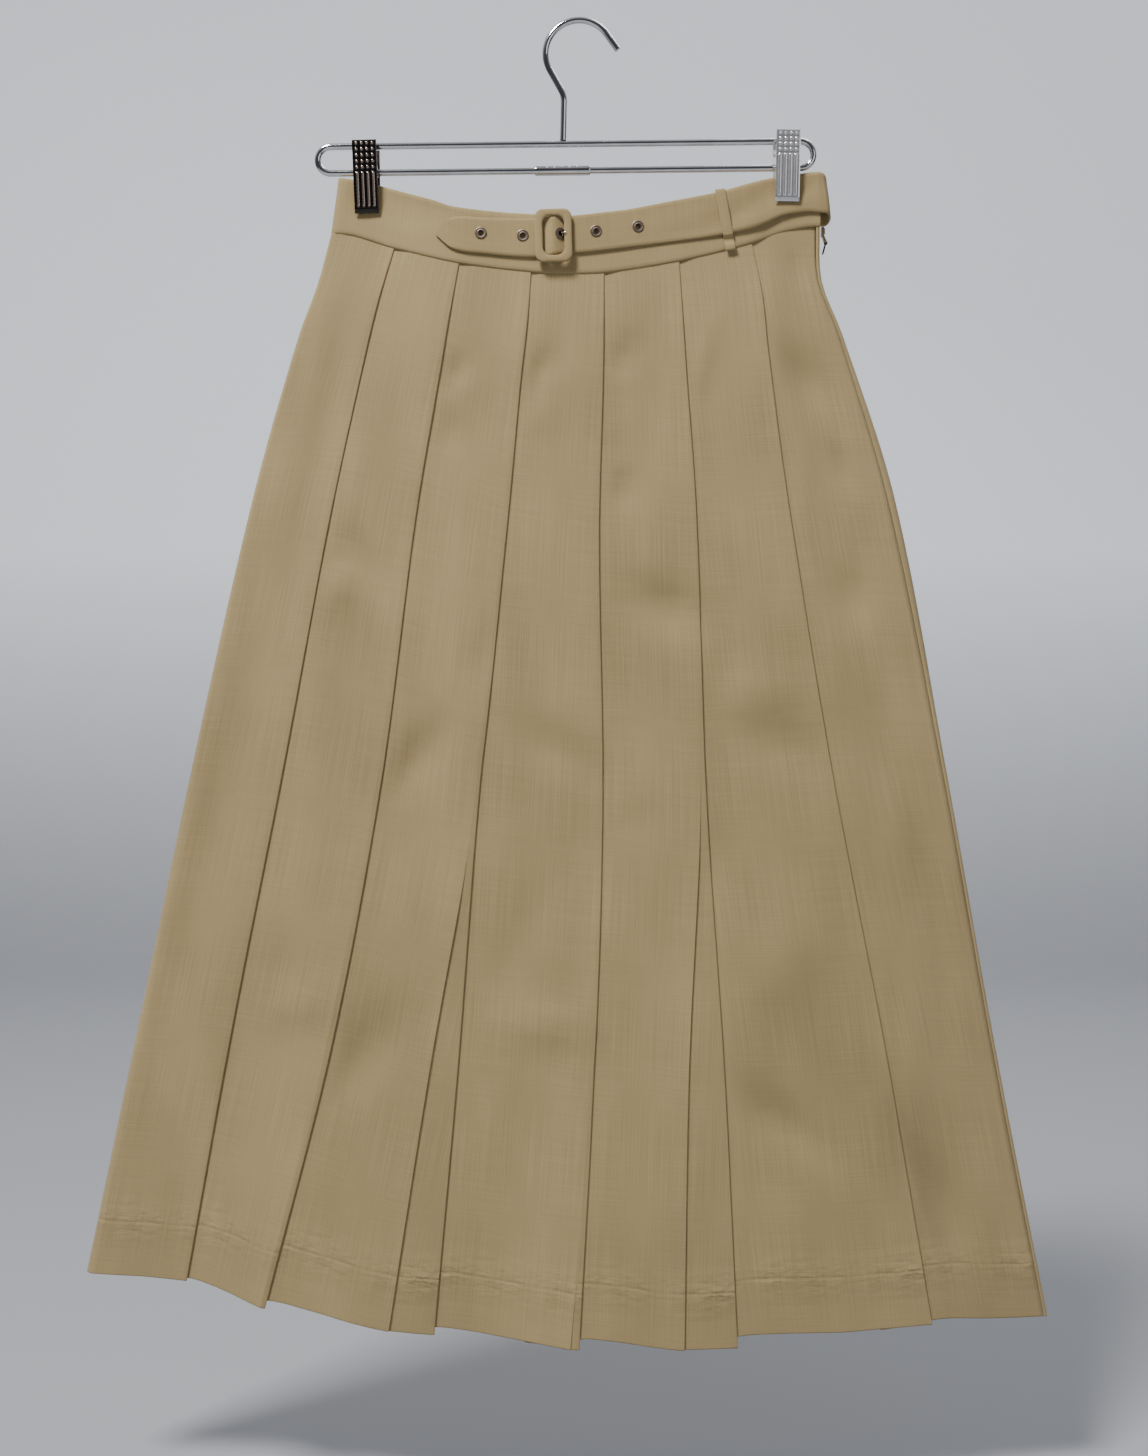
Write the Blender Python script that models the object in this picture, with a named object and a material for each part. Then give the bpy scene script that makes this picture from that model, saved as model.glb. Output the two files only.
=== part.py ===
"""Knife-pleated midi skirt with a self belt, hanging from a wire clip hanger.

+Z is up and the front faces -Y. The origin is the point inside the hook that bears on a rail,
and the plane y = 0 is the plane of the hanger's wire. Sizes in the tables are millimetres.
"""

import math
from collections import namedtuple

import bmesh
import bpy
import numpy as np
from mathutils import Matrix, Vector

MM = 0.001

# Cloth
SKIRT_WALL = 1.2
BAND_WALL = 2.4
STRAP_WALL = 1.8
LOOP_WALL = 0.8
SEAM = 0.3

# Skirt: measures of each fold at these shares of the way from the waist seam to the hem
LEVELS = (0.0, 0.05, 0.1, 0.25, 0.5, 0.75, 1.0)
ROWS = (0.0, 0.05, 0.1, 0.17, 0.26, 0.38, 0.54, 0.7, 0.85, 1.0)
FACE_SHARES = (0.22, 0.45, 0.68, 0.86)
CREASE_INSET = 3.0
HOOK_LENGTH = 1.2
STRIP_LEAN = 0.05
LAYER_AT_WAIST = 2.0
LAYER_AT_HEM = 3.0

# x: place of the crease. stand: how far it stands out from the plane of the hanger.
# under: how far the next gore stands out where it leaves the fold. tuck: edge of the fold to
# the valley behind it. roll: strip beyond the crease that has turned to the outside.
# swell: how late the face rises to the crease at the hem (1 is straight).
Fold = namedtuple("Fold", "x stand under tuck roll swell")
NO_ROLL = (0,) * 7
FRONT_FOLDS = (
    Fold((-129.2, -139.8, -148.5, -172.0, -205.1, -240.3, -272.5), (5.2, 6.0, 6.5, 7.5, 9, 10.5, 12),
         (1.2, 1.8, 2.2, 2.9, 3.8, 4.6, 5), (9, 10, 11, 14, 20, 26, 32), NO_ROLL, 1.2),
    Fold((-83.6, -90.1, -95.9, -113.7, -136.9, -169.9, -214.9), (8.2, 10, 11, 13, 16, 22, 30),
         (4.2, 5.8, 6.7, 8.3, 10.5, 11.5, 12), (12, 12, 13, 16, 22, 28, 36), NO_ROLL, 1.5),
    Fold((-33.5, -36.2, -40.4, -50.6, -70.4, -101.8, -130.2), (9.6, 11.5, 12.5, 15, 20, 27, 34),
         (5.6, 7.3, 8.2, 10.3, 13, 13.5, 14), (12, 12, 13, 16, 22, 30, 38), (0, 0, 0, 0, 1, 18.5, 31), 1.5),
    Fold((17.2, 16.9, 16.4, 13.6, 15.9, 9.7, -6.3), (9.8, 12, 13, 16, 20, 30, 42),
         (5.8, 7.8, 8.7, 11.3, 13.5, 16, 19), (12, 12, 13, 16, 22, 29, 38), (0, 0, 0, 0, 0, 0, 6), 2.0),
    Fold((69.3, 71.6, 73.9, 81.2, 83.4, 74.5, 70.8), (9.4, 11.5, 12.5, 15, 20, 31, 40),
         (5.4, 7.3, 8.2, 10.3, 12, 12, 12), (12, 12, 13, 14, 14, 18, 28), (0, 0, 0, 0, 4, 24.5, 36.5), 6.0),
    Fold((120.3, 127.4, 131.1, 145.8, 175.9, 211.1, 242.4), (6.2, 8, 9, 11, 14, 18, 22),
         (2.2, 3.8, 4.7, 6.3, 8.5, 11, 13), (12, 12, 13, 16, 22, 29, 36), NO_ROLL, 1.5),
)

# The two sides of the skirt: x of the outline, and the length and half depth of its turn
Side = namedtuple("Side", "x turn half_depth")
LEFT_SIDE = Side((-173.1, -182.9, -196.2, -227.0, -268.3, -306.1, -343.9),
                 (1.6, 2.2, 3, 4, 5, 6, 7), (1.6, 2.2, 3, 4, 5, 6, 7))
RIGHT_SIDE = Side((168.0, 169.4, 184.1, 220.5, 256.5, 290.1, 326.9),
                  (2.4, 2.4, 3.0, 5.5, 3.0, 2.6, 2.6), (1.6, 2, 3, 4, 4, 4, 4))
LEFT_TURN_ANGLES = (90, 135, 180, 225, 270)
RIGHT_TURN_ANGLES = (90, 45, 0, -45, -90)
RIGHT_TURN_FLAT = 1.0

# The back has seven even gores, measured in the mirror, from the zip side to the far side
BACK_WAIST_X = (-122, -76, -30, 16, 62, 108, 157)
BACK_HEM_X = (-232, -136, -40, 56, 150, 242, 326)
BACK_WAIST_STAND = (6.2, 8.6, 9.6, 9.6, 8.8, 7.0, 5.6)
BACK_HEM_STAND = (16, 19, 20, 20, 19, 17, 15)
BACK_HEM_GAIN = (7, 9, 9, 9, 9, 8, 7)
BACK_TUCK = (11, 12, 13, 16, 22, 29, 36)
BACK_LAST_TUCK = (8, 8, 9, 11, 14, 18, 22)
BACK_FLARE = (0, 0.03, 0.11, 0.318, 0.555, 0.772, 1)
BACK_RISE = (0, 0.1, 0.16, 0.3, 0.5, 0.72, 1)
BACK_SWELL = 1.2

# Height of the hem and of the edges of the waistband, along x
HEM = ((-344, -272, -215, -130, -6, 75, 160, 245, 327),
       (-872.5, -876.5, -889.5, -904, -913.5, -914.5, -911.5, -903, -903.4))
WAIST_SEAM = ((-173, -158, -139, -130, -84, -34, 0, 17, 43, 70, 98, 121, 141, 151, 160, 169),
              (-147.1, -148.7, -154.7, -157.8, -169.3, -175.9, -177.3, -176.6, -173.1, -168.2, -161.4,
               -154.4, -146.8, -144.4, -142.7, -142.3))
BAND_TOP = ((-167, -158, -141, -134, -118, -102, -88, -55, -30, -5, 25, 42, 84, 126, 155, 169),
            (-108.5, -110, -113.9, -115.9, -120.5, -125, -129.8, -134.5, -136.4, -138.6, -136.5, -133.2,
             -124.6, -113, -105.8, -104.2))

# Waistband: distance of its middle from the plane of the hanger, along x
BAND_LEFT_TOP, BAND_LEFT_SEAM, BAND_RIGHT = -167.3, -172.5, 168.4
BAND_DEPTH_TOP = ((-173, -141, -128, -100, -60, 0, 60, 100, 126, 136, 169),
                  (1.5, 1.5, 2.4, 4.6, 7.6, 9.2, 7.6, 4.6, 2.2, 1.5, 1.5))
BAND_DEPTH_SEAM = ((-173, -141, -128, -108, -84, -34, 17, 70, 100, 121, 135, 169),
                   (1.5, 1.7, 3.5, 5.8, 7.6, 9.0, 9.2, 8.8, 6.8, 4.2, 1.8, 1.5))
BAND_COLUMNS = (-171, -160, -150, -141, -134, -128, -114, -99, -84, -67, -50, -34, -17, 0, 17, 34, 52, 70,
                87, 104, 121, 128, 136, 146, 157, 168.4)

# Belt strap, eyelets and loop
STRAP_TOP = ((-99.5, -90, -65, -31, 0, 17, 34, 42, 84, 98, 126, 146, 169),
             (-148.6, -138.7, -139, -139.6, -137.6, -135.6, -133.5, -131.9, -123.1, -119.9, -111.4, -107.5, -105.5))
STRAP_BOTTOM = ((-99.5, -88, -67, -31, -4, 14, 84, 108, 124, 140, 146, 159, 169),
                (-150.6, -160.2, -163.8, -166.6, -164, -162.3, -153, -148.4, -144.1, -136.4, -134.8, -132.9, -133.6))
STRAP_COLUMNS = (-99.5, -90, -74.5, -62, -45.5, -33, -25.6, -19, -17.4, -10, 5, 18, 34, 47, 65, 84, 98, 110,
                 121, 128, 136, 146, 157, 167)
STRAP_LIFT = 3.3
STRAP_BACK_COLUMNS = (167, 157, 146, 136, 128, 121)
STRAP_BACK_TOP, STRAP_BACK_BOTTOM = -111, -141
STRAP_TURN_ANGLES = (60, 30, 0, -30, -60)
STRAP_TURN_X_TOP, STRAP_TURN_X_BOTTOM = 168.2, 171.4
EYELET_X = (-68.3, -39.2, -13.5, 11.6, 40.7)
EYELET_Z = (-149.6, -151.7, -151.1, -148.9, -145.5)
EYELET_RIM, EYELET_BARREL, EYELET_HOLE, STRAP_HOLE = 4.1, 2.0, 1.5, 2.3
LOOP_FOOT_X, LOOP_HEAD_X, LOOP_WIDTH = 105, 98, 7

# Buckle, measured from the outside of the waistband behind it
BUCKLE_X, BUCKLE_Z, BUCKLE_TILT = -17.8, -152.2, 1.5
BUCKLE_OUTER = (25.6, 36.6, 5.5)
BUCKLE_INNER = (15.0, 28.8, 4.2)
BUCKLE_BACK, BUCKLE_THICK = 3.5, 3.0
BAR_HEIGHT, BAR_RADIUS, BAR_HALF_LENGTH = 1.8, 0.5, 14.9
TAB_WALL, TAB_LOOP, TAB_HALF_LENGTH, TAB_TAIL = 0.6, 1.1, 11.5, 5.0
PRONG_RADIUS, PRONG_RING = 0.4, 1.1

# Side zip
ZIP_BOTTOM_SHARE = 0.23
ZIP_WIDTH, ZIP_THICK = 2.0, 1.0
SLIDER_SIZE = (2.6, 4.4, 6.2)
SLIDER_CENTRE = (170.4, -0.4, -146.1)
PULL_PIVOT = (172.4, -0.4, -153.8)
PULL_LEAN, PULL_LENGTH, PULL_WIDTH, PULL_THICK = 15.0, 8.4, 3.0, 1.1

# Hanger
WIRE_RADIUS = 2.3
HOOK_RADIUS = 23.6
HOOK_BEND = (-11.34, -50.0)
HOOK_TIP = (27.2, -18.7)
HOOK_ANGLES = (209, 40)
LOOP_LEFT, LOOP_RIGHT, LOOP_END_RADIUS = (-173.7, -95.7), (154.6, -91.9), 9.3
FERRULE_ENDS, FERRULE_RADIUS = (-30.9, 7.6), 3.1

# Clips: place along the wire, lean in the picture plane, leaf ends measured from the pivot wire
Clip = namedtuple("Clip", "side x lean above below jaw")
CLIPS = (
    Clip("left", -148.8, -1.6, 19.4, 29.4, 3.1),
    Clip("right", 145.0, 0.8, 23.0, 25.2, 5.4),
)
CLIP_WIDTH, CLIP_PLATE, CLIP_MOUTH = 16.8, 1.2, 11.0
EAR_RADIUS, EAR_WALL, EAR_DROP = 3.6, 1.0, 4.6
EAR_PLACES = {"front": 7.9, "back": 6.5}
PIVOT_HOLE = 2.6
SPRING_OUTER, SPRING_HALF_LENGTH = 3.9, 5.3

# Finishes: colour, roughness, metallic
FINISHES = {
    "skirt_cloth": ((0.40, 0.33, 0.20), 0.85, 0.0),
    "belt_cloth": ((0.42, 0.34, 0.21), 0.85, 0.0),
    "eyelet_metal": ((0.30, 0.24, 0.20), 0.35, 1.0),
    "bright_metal": ((0.75, 0.75, 0.77), 0.12, 1.0),
    "dark_chrome": ((0.32, 0.30, 0.29), 0.18, 1.0),
    "zip_brass": ((0.45, 0.36, 0.18), 0.35, 1.0),
    "zip_tape": ((0.35, 0.29, 0.18), 0.8, 0.0),
    "pull_metal": ((0.10, 0.08, 0.06), 0.4, 1.0),
}


def finish(name):
    """Return the named material, made the first time it is asked for."""
    found = bpy.data.materials.get(name)
    if found:
        return found
    colour, roughness, metallic = FINISHES[name]
    made = bpy.data.materials.new(name)
    made.use_nodes = True
    shader = made.node_tree.nodes["Principled BSDF"]
    shader.inputs["Base Color"].default_value = (*colour, 1.0)
    shader.inputs["Roughness"].default_value = roughness
    shader.inputs["Metallic"].default_value = metallic
    made.diffuse_color = (*colour, 1.0)
    return made


def add_piece(name, form, look, smooth=False):
    """Make an object from a bmesh in millimetres and put it in the scene."""
    bmesh.ops.recalc_face_normals(form, faces=form.faces[:])
    bmesh.ops.scale(form, vec=(MM, MM, MM), verts=form.verts[:])
    mesh = bpy.data.meshes.new(name)
    form.to_mesh(mesh)
    form.free()
    mesh.materials.append(finish(look))
    if smooth:
        mesh.shade_smooth()
        mesh.set_sharp_from_angle(angle=math.radians(40))
    piece = bpy.data.objects.new(name, mesh)
    bpy.context.scene.collection.objects.link(piece)
    return piece


def hide_cutter(cutter):
    """Show a cutter as wire and keep it out of the part."""
    cutter.hide_render = True
    cutter.display_type = "WIRE"


def combine(piece, other, operation):
    """Join or cut one piece with a hidden one."""
    hide_cutter(other)
    step = piece.modifiers.new(other.name, "BOOLEAN")
    step.operation = operation
    step.object = other
    return step


def curve(places, values, at):
    """Value at one place, on a smooth curve through the listed places."""
    last = len(places) - 1
    at = min(max(at, places[0]), places[last])
    i = min(max(int(np.searchsorted(places, at)) - 1, 0), last - 1)
    span = places[i + 1] - places[i]

    def slope(k):
        low, high = max(k - 1, 0), min(k + 1, last)
        return (values[high] - values[low]) / (places[high] - places[low])

    s = (at - places[i]) / span
    return ((2 * s**3 - 3 * s**2 + 1) * values[i] + (s**3 - 2 * s**2 + s) * span * slope(i)
            + (3 * s**2 - 2 * s**3) * values[i + 1] + (s**3 - s**2) * span * slope(i + 1))


def mix(low, high, share):
    """Straight mix of two numbers."""
    return low + (high - low) * share


def mitred(path, half):
    """Move a plan path sideways by half a wall, with mitred corners."""
    moved = []
    for i, point in enumerate(path):
        before = (point - path[i - 1]).normalized() if i > 0 else None
        after = (path[i + 1] - point).normalized() if i < len(path) - 1 else None
        before = before or after
        after = after or before
        left = Vector((-before.y, before.x))
        right = Vector((-after.y, after.x))
        moved.append(point + (left + right) * (half / max(1.0 + left.dot(right), 0.35)))
    return moved


def cloth_wall(rows, wall):
    """Closed wall about rows of points: each row is bent in plan and keeps its own heights."""
    form = bmesh.new()
    grid = []
    for row in rows:
        path = [Vector(p[:2]) for p in row]
        sides = [mitred(path, wall / 2), mitred(path, -wall / 2)]
        grid.append([[form.verts.new((q.x, q.y, p[2])) for q, p in zip(side, row)] for side in sides])
    for upper, lower in zip(grid, grid[1:]):
        for side in (0, 1):
            for i in range(len(upper[side]) - 1):
                form.faces.new((upper[side][i], upper[side][i + 1], lower[side][i + 1], lower[side][i]))
        for i in (0, -1):
            form.faces.new((upper[0][i], upper[1][i], lower[1][i], lower[0][i]))
    for row in (grid[0], grid[-1]):
        for i in range(len(row[0]) - 1):
            form.faces.new((row[0][i], row[0][i + 1], row[1][i + 1], row[1][i]))
    return form


def prism(outline, axis, low, high):
    """Extrude a closed outline of (first, second) points along X, Y or Z between two places."""
    order = {"X": lambda a, b, c: (c, a, b), "Y": lambda a, b, c: (a, c, b), "Z": lambda a, b, c: (a, b, c)}[axis]
    form = bmesh.new()
    face = form.faces.new([form.verts.new(order(a, b, low)) for a, b in outline])
    grown = bmesh.ops.extrude_face_region(form, geom=[face])
    moved = [v for v in grown["geom"] if isinstance(v, bmesh.types.BMVert)]
    bmesh.ops.translate(form, verts=moved, vec=order(0, 0, high - low))
    return form


def rounded_rectangle(width, height, radius, steps):
    """Points round a rectangle with round corners, centred on the origin."""
    points = []
    for corner in range(4):
        turn = math.radians(90 * corner)
        cx = (width / 2 - radius) * (1 if corner in (0, 3) else -1)
        cz = (height / 2 - radius) * (1 if corner in (0, 1) else -1)
        for step in range(steps + 1):
            angle = turn + math.radians(90) * step / steps
            points.append((cx + radius * math.cos(angle), cz + radius * math.sin(angle)))
    return points


def ring_of(outer, inner, low, high, soften):
    """Flat ring between two outlines with as many points each, its edges bevelled."""
    form = bmesh.new()
    loops = []
    for outline in (outer, inner):
        verts = [form.verts.new((x, low, z)) for x, z in outline]
        loops.append(verts)
    count = len(outer)
    faces = [form.faces.new((loops[0][i], loops[0][(i + 1) % count], loops[1][(i + 1) % count], loops[1][i]))
             for i in range(count)]
    grown = bmesh.ops.extrude_face_region(form, geom=faces)
    moved = [v for v in grown["geom"] if isinstance(v, bmesh.types.BMVert)]
    bmesh.ops.translate(form, verts=moved, vec=(0, high - low, 0))
    rims = [e for e in form.edges if e.is_manifold and e.calc_face_angle(0) > 1.2
            and min(v.co.y for v in e.verts) < min(low, high) + 0.01
            and abs(e.verts[0].co.y - e.verts[1].co.y) < 0.01]
    bmesh.ops.bevel(form, geom=rims, offset=soften, segments=1, profile=0.5, affect="EDGES", material=-1)
    return form


def turned(profile, steps):
    """Turn a closed profile of (radius, height) points about Z."""
    form = bmesh.new()
    verts = [form.verts.new((r, 0, h)) for r, h in profile]
    edges = [form.edges.new((verts[i - 1], verts[i])) for i in range(len(verts))]
    bmesh.ops.spin(form, geom=verts + edges, axis=(0, 0, 1), cent=(0, 0, 0), angle=math.tau,
                   steps=steps, use_merge=True, use_duplicate=False)
    return form


def tube(name, points, radius, look, closed=False, sides=2):
    """Round wire along a list of points, as a curve with a bevel."""
    line = bpy.data.curves.new(name, "CURVE")
    line.dimensions = "3D"
    line.bevel_depth = radius * MM
    line.bevel_resolution = sides
    line.use_fill_caps = not closed
    spline = line.splines.new("POLY")
    spline.points.add(len(points) - 1)
    for place, point in zip(spline.points, points):
        place.co = (point[0] * MM, point[1] * MM, point[2] * MM, 1.0)
    spline.use_cyclic_u = closed
    spline.use_smooth = True
    line.materials.append(finish(look))
    piece = bpy.data.objects.new(name, line)
    bpy.context.scene.collection.objects.link(piece)
    return piece


# Skirt

def layer(t):
    """Distance between two layers of a pleat at share t of the length."""
    return mix(LAYER_AT_WAIST, LAYER_AT_HEM, t)


def back_fold(k):
    """Measures of one fold of the back, worked out from its place at the waist and the hem."""
    x = tuple(mix(BACK_WAIST_X[k], BACK_HEM_X[k], flare) for flare in BACK_FLARE)
    stand = tuple(mix(BACK_WAIST_STAND[k], BACK_HEM_STAND[k], rise) for rise in BACK_RISE)
    under = tuple(s - mix(2 * LAYER_AT_WAIST, max(BACK_HEM_GAIN[k], 2 * LAYER_AT_HEM), t) - 0.15
                  for s, t in zip(stand, LEVELS))
    tuck = BACK_LAST_TUCK if k == len(BACK_WAIST_X) - 1 else BACK_TUCK
    return Fold(x, stand, under, tuck, NO_ROLL, BACK_SWELL)


BACK_FOLDS = tuple(back_fold(k) for k in range(len(BACK_WAIST_X)))


def measure(fold, name, t):
    """One measure of a fold or side at share t of the length."""
    return curve(LEVELS, getattr(fold, name), t)


def fold_places(fold, t):
    """x of the crease and of the outer edge of a fold."""
    roll = max(measure(fold, "roll", t), 0.0)
    edge = measure(fold, "x", t) + roll
    return edge - max(roll, CREASE_INSET), edge


def gore_surface(start_x, start_depth, fold, t):
    """Depth of a gore's outside at any x, from where it leaves the fold before to its own edge."""
    crease, edge = fold_places(fold, t)
    stand = measure(fold, "stand", t)
    swell = 1.0 + (fold.swell - 1.0) * t * t
    strip = stand - STRIP_LEAN * (edge - crease)

    def depth(x):
        if x > crease:
            return mix(stand, strip, (x - crease) / (edge - crease))
        share = max(x - start_x, 0.0) / (crease - start_x)
        return mix(start_depth, stand, share**swell)

    return depth


def tucked_start(before, depth_before, t):
    """The first points of a gore, from the valley behind the fold before it to that fold's edge."""
    edge = fold_places(before, t)[1]
    valley = edge - measure(before, "tuck", t)
    top = depth_before(valley) - layer(t)
    return [(valley + HOOK_LENGTH, top), (valley, top), (valley, top - layer(t)),
            (edge, measure(before, "under", t))]


def pleated_face(start_x, depth, fold, t):
    """The seen face of a gore, its folded edge and the return to the valley."""
    crease, edge = fold_places(fold, t)
    turn = layer(t) / 2
    valley = edge - measure(fold, "tuck", t)
    face = [mix(start_x, crease, share) for share in FACE_SHARES] + [crease]
    points = [(x, depth(x)) for x in face]
    points += [(edge - turn, depth(edge)), (edge, depth(edge) - turn), (edge - turn, depth(edge) - 2 * turn)]
    end = valley + HOOK_LENGTH + SEAM
    return points + [(end, depth(end) - layer(t))]


def turn_points(side, angles, flat, t):
    """Plan points round one side of the skirt, from front to back or back to front."""
    x = measure(side, "x", t)
    across = (measure(side, "turn", t) - flat) * (1 if x > 0 else -1)
    half = measure(side, "half_depth", t)
    return [(x - across + abs(across) * math.cos(math.radians(a)),
             half * math.sin(math.radians(a)) * (-1 if x > 0 else 1)) for a in angles]


def on_front(points):
    """Depths in front of the hanger's plane, as plan points."""
    return [(x, -depth) for x, depth in points]


def on_back(points):
    """Depths behind the hanger's plane, measured in the mirror, as plan points."""
    return [(-x, depth) for x, depth in points]


def gore_start(side, k, t):
    """Where the seen face of gore k begins: x and depth, in its own side's measure."""
    if side == "front" and k == 0:
        return measure(LEFT_SIDE, "x", t) + measure(LEFT_SIDE, "turn", t), measure(LEFT_SIDE, "half_depth", t)
    if side == "back" and k == 0:
        inset = measure(RIGHT_SIDE, "turn", t) - RIGHT_TURN_FLAT
        return inset - measure(RIGHT_SIDE, "x", t), measure(RIGHT_SIDE, "half_depth", t)
    before = (FRONT_FOLDS if side == "front" else BACK_FOLDS)[k - 1]
    return fold_places(before, t)[1], measure(before, "under", t)


def gore_depth(side, k, t):
    """Depth of the outside of gore k, which ends in its own fold."""
    folds = FRONT_FOLDS if side == "front" else BACK_FOLDS
    return gore_surface(*gore_start(side, k, t), folds[k], t)


def gore_section(side, k, t):
    """Plan points of one gore at share t of the length."""
    folds = FRONT_FOLDS if side == "front" else BACK_FOLDS
    place = on_front if side == "front" else on_back
    start_x, start_depth = gore_start(side, k, t)
    points = []
    if k > 0:
        points += place(tucked_start(folds[k - 1], gore_depth(side, k - 1, t), t))
    elif side == "front":
        points += on_back(tucked_start(BACK_FOLDS[-1], gore_depth("back", len(BACK_FOLDS) - 1, t), t))
        points += turn_points(LEFT_SIDE, LEFT_TURN_ANGLES, 0.0, t)
    else:
        seam_x = measure(RIGHT_SIDE, "x", t) - measure(RIGHT_SIDE, "turn", t)
        points += [(seam_x, -start_depth)]
        points += turn_points(RIGHT_SIDE, RIGHT_TURN_ANGLES, RIGHT_TURN_FLAT, t)
    if k < len(folds):
        return points + place(pleated_face(start_x, gore_depth(side, k, t), folds[k], t))
    end_x = measure(RIGHT_SIDE, "x", t) - measure(RIGHT_SIDE, "turn", t) - SEAM
    end_depth = measure(RIGHT_SIDE, "half_depth", t)
    return points + place([(mix(start_x, end_x, s), mix(start_depth, end_depth, s)) for s in (*FACE_SHARES, 1.0)])


def gore_rows(side, k, levels):
    """Rows of points of one gore, each column at its own height between waist seam and hem."""
    at_waist = gore_section(side, k, 0.0)
    at_hem = gore_section(side, k, 1.0)
    tops = [curve(*WAIST_SEAM, x) - SEAM / 2 for x, _ in at_waist]
    bottoms = [curve(*HEM, x) for x, _ in at_hem]
    return [[(x, y, mix(top, bottom, t)) for (x, y), top, bottom in zip(gore_section(side, k, t), tops, bottoms)]
            for t in levels]


def build_skirt():
    """Seven front gores and seven back gores."""
    for side, count in (("front", len(FRONT_FOLDS) + 1), ("back", len(BACK_FOLDS))):
        for k in range(count):
            add_piece(f"{side}_panel_{k + 1}", cloth_wall(gore_rows(side, k, ROWS), SKIRT_WALL), "skirt_cloth")


# Waistband

def band_depth(x, z):
    """Distance of the waistband's middle from the plane of the hanger."""
    low, high = curve(*WAIST_SEAM, x), curve(*BAND_TOP, x)
    return mix(curve(*BAND_DEPTH_SEAM, x), curve(*BAND_DEPTH_TOP, x), (z - low) / (high - low))


def with_middle(low, high):
    """Two rows of points and the row halfway between them."""
    middle = [tuple(mix(a, b, 0.5) for a, b in zip(p, q)) for p, q in zip(low, high)]
    return [low, middle, high]


def band_rows(side):
    """Rows of the front (+1) or back (-1) waistband, from the seam up."""
    rows = []
    for left, heights, depths, lift in ((BAND_LEFT_SEAM, WAIST_SEAM, BAND_DEPTH_SEAM, SEAM / 2),
                                        (BAND_LEFT_TOP, BAND_TOP, BAND_DEPTH_TOP, 0.0)):
        slide = left - BAND_LEFT_SEAM
        edge_depth = depths[1][0]
        row = [(left, -side * depth, curve(*heights, left) + lift) for depth in (SEAM / 2, edge_depth)]
        for column in BAND_COLUMNS:
            x = column + slide * (BAND_RIGHT - column) / (BAND_RIGHT - BAND_LEFT_SEAM)
            row.append((x, -side * curve(*depths, x), curve(*heights, x) + lift))
        rows.append(row)
    return with_middle(*rows)


def build_waistband():
    """Front and back of the band, meeting at the left side and open at the right."""
    for name, side in (("front", 1), ("back", -1)):
        add_piece(f"waistband_{name}", cloth_wall(band_rows(side), BAND_WALL), "skirt_cloth")


# Belt

def strap_offset(x):
    """Distance of the strap's middle from the middle of the waistband, more over the buckle's bar."""
    flat = BAND_WALL / 2 + SEAM + STRAP_WALL / 2
    from_bar = x - BUCKLE_X
    rise = np.interp(from_bar, (-7.8, -1.2, 0.4, 7.8), (0.0, 1.0, 1.0, 0.0))
    return flat + STRAP_LIFT * float(rise)


def strap_rows():
    """Rows of the strap, from its lower edge: along the front, round the right side to the back."""
    rows = []
    for heights, turn_x, back_z in ((STRAP_BOTTOM, STRAP_TURN_X_BOTTOM, STRAP_BACK_BOTTOM),
                                    (STRAP_TOP, STRAP_TURN_X_TOP, STRAP_BACK_TOP)):
        row = []
        for x in STRAP_COLUMNS:
            z = curve(*heights, x)
            row.append((x, -(band_depth(x, z) + strap_offset(x)), z))
        radius = -row[-1][1]
        for angle in STRAP_TURN_ANGLES:
            turn = math.radians(angle)
            z = mix(back_z, heights[1][-1], (1 + math.sin(turn)) / 2)
            row.append((turn_x + radius * math.cos(turn), -radius * math.sin(turn), z))
        row += [(x, band_depth(x, back_z) + strap_offset(x), back_z) for x in STRAP_BACK_COLUMNS]
        rows.append(row)
    return with_middle(*rows)


def strap_frame(x, z, rows):
    """Point on the middle of the strap and the direction out of it, from the span that holds x."""
    bottom, top = ([Vector(p) for p in row] for row in (rows[0], rows[-1]))
    i = max(k for k in range(len(STRAP_COLUMNS)) if STRAP_COLUMNS[k] <= x)
    share = (x - STRAP_COLUMNS[i]) / (STRAP_COLUMNS[i + 1] - STRAP_COLUMNS[i])
    low = bottom[i].lerp(bottom[i + 1], share)
    high = top[i].lerp(top[i + 1], share)
    centre = low.lerp(high, (z - low.z) / (high.z - low.z))
    along = ((bottom[i + 1] - bottom[i]) + (top[i + 1] - top[i])).normalized()
    out = along.cross(high - low).normalized()
    return centre, out


def stand_on(form, centre, out):
    """Turn a form made about Z so that Z points out, and move it to its centre."""
    turn = Vector((0, 0, 1)).rotation_difference(out).to_matrix().to_4x4()
    bmesh.ops.transform(form, matrix=Matrix.Translation(centre) @ turn, verts=form.verts[:])


def build_strap():
    """Strap with five holes, and an eyelet in each."""
    rows = strap_rows()
    strap = add_piece("belt_strap", cloth_wall(rows, STRAP_WALL), "belt_cloth")
    holes = bmesh.new()
    back, face = -STRAP_WALL / 2, STRAP_WALL / 2 + SEAM
    profile = ((EYELET_HOLE, back), (EYELET_BARREL, back), (EYELET_BARREL, face), (EYELET_RIM, face),
               (EYELET_RIM - 0.7, face + 0.6), (EYELET_HOLE, face + 0.4))
    for number, (x, z) in enumerate(zip(EYELET_X, EYELET_Z), start=1):
        centre, out = strap_frame(x, z, rows)
        eyelet = turned(profile, 12)
        stand_on(eyelet, centre, out)
        add_piece(f"eyelet_{number}", eyelet, "eyelet_metal", smooth=True)
        turn = Vector((0, 0, 1)).rotation_difference(out).to_matrix().to_4x4()
        bmesh.ops.create_cone(holes, cap_ends=True, segments=12, radius1=STRAP_HOLE, radius2=STRAP_HOLE,
                              depth=4 * STRAP_WALL, matrix=Matrix.Translation(centre) @ turn)
    combine(strap, add_piece("strap_hole_cutter", holes, "belt_cloth"), "DIFFERENCE")


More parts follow.
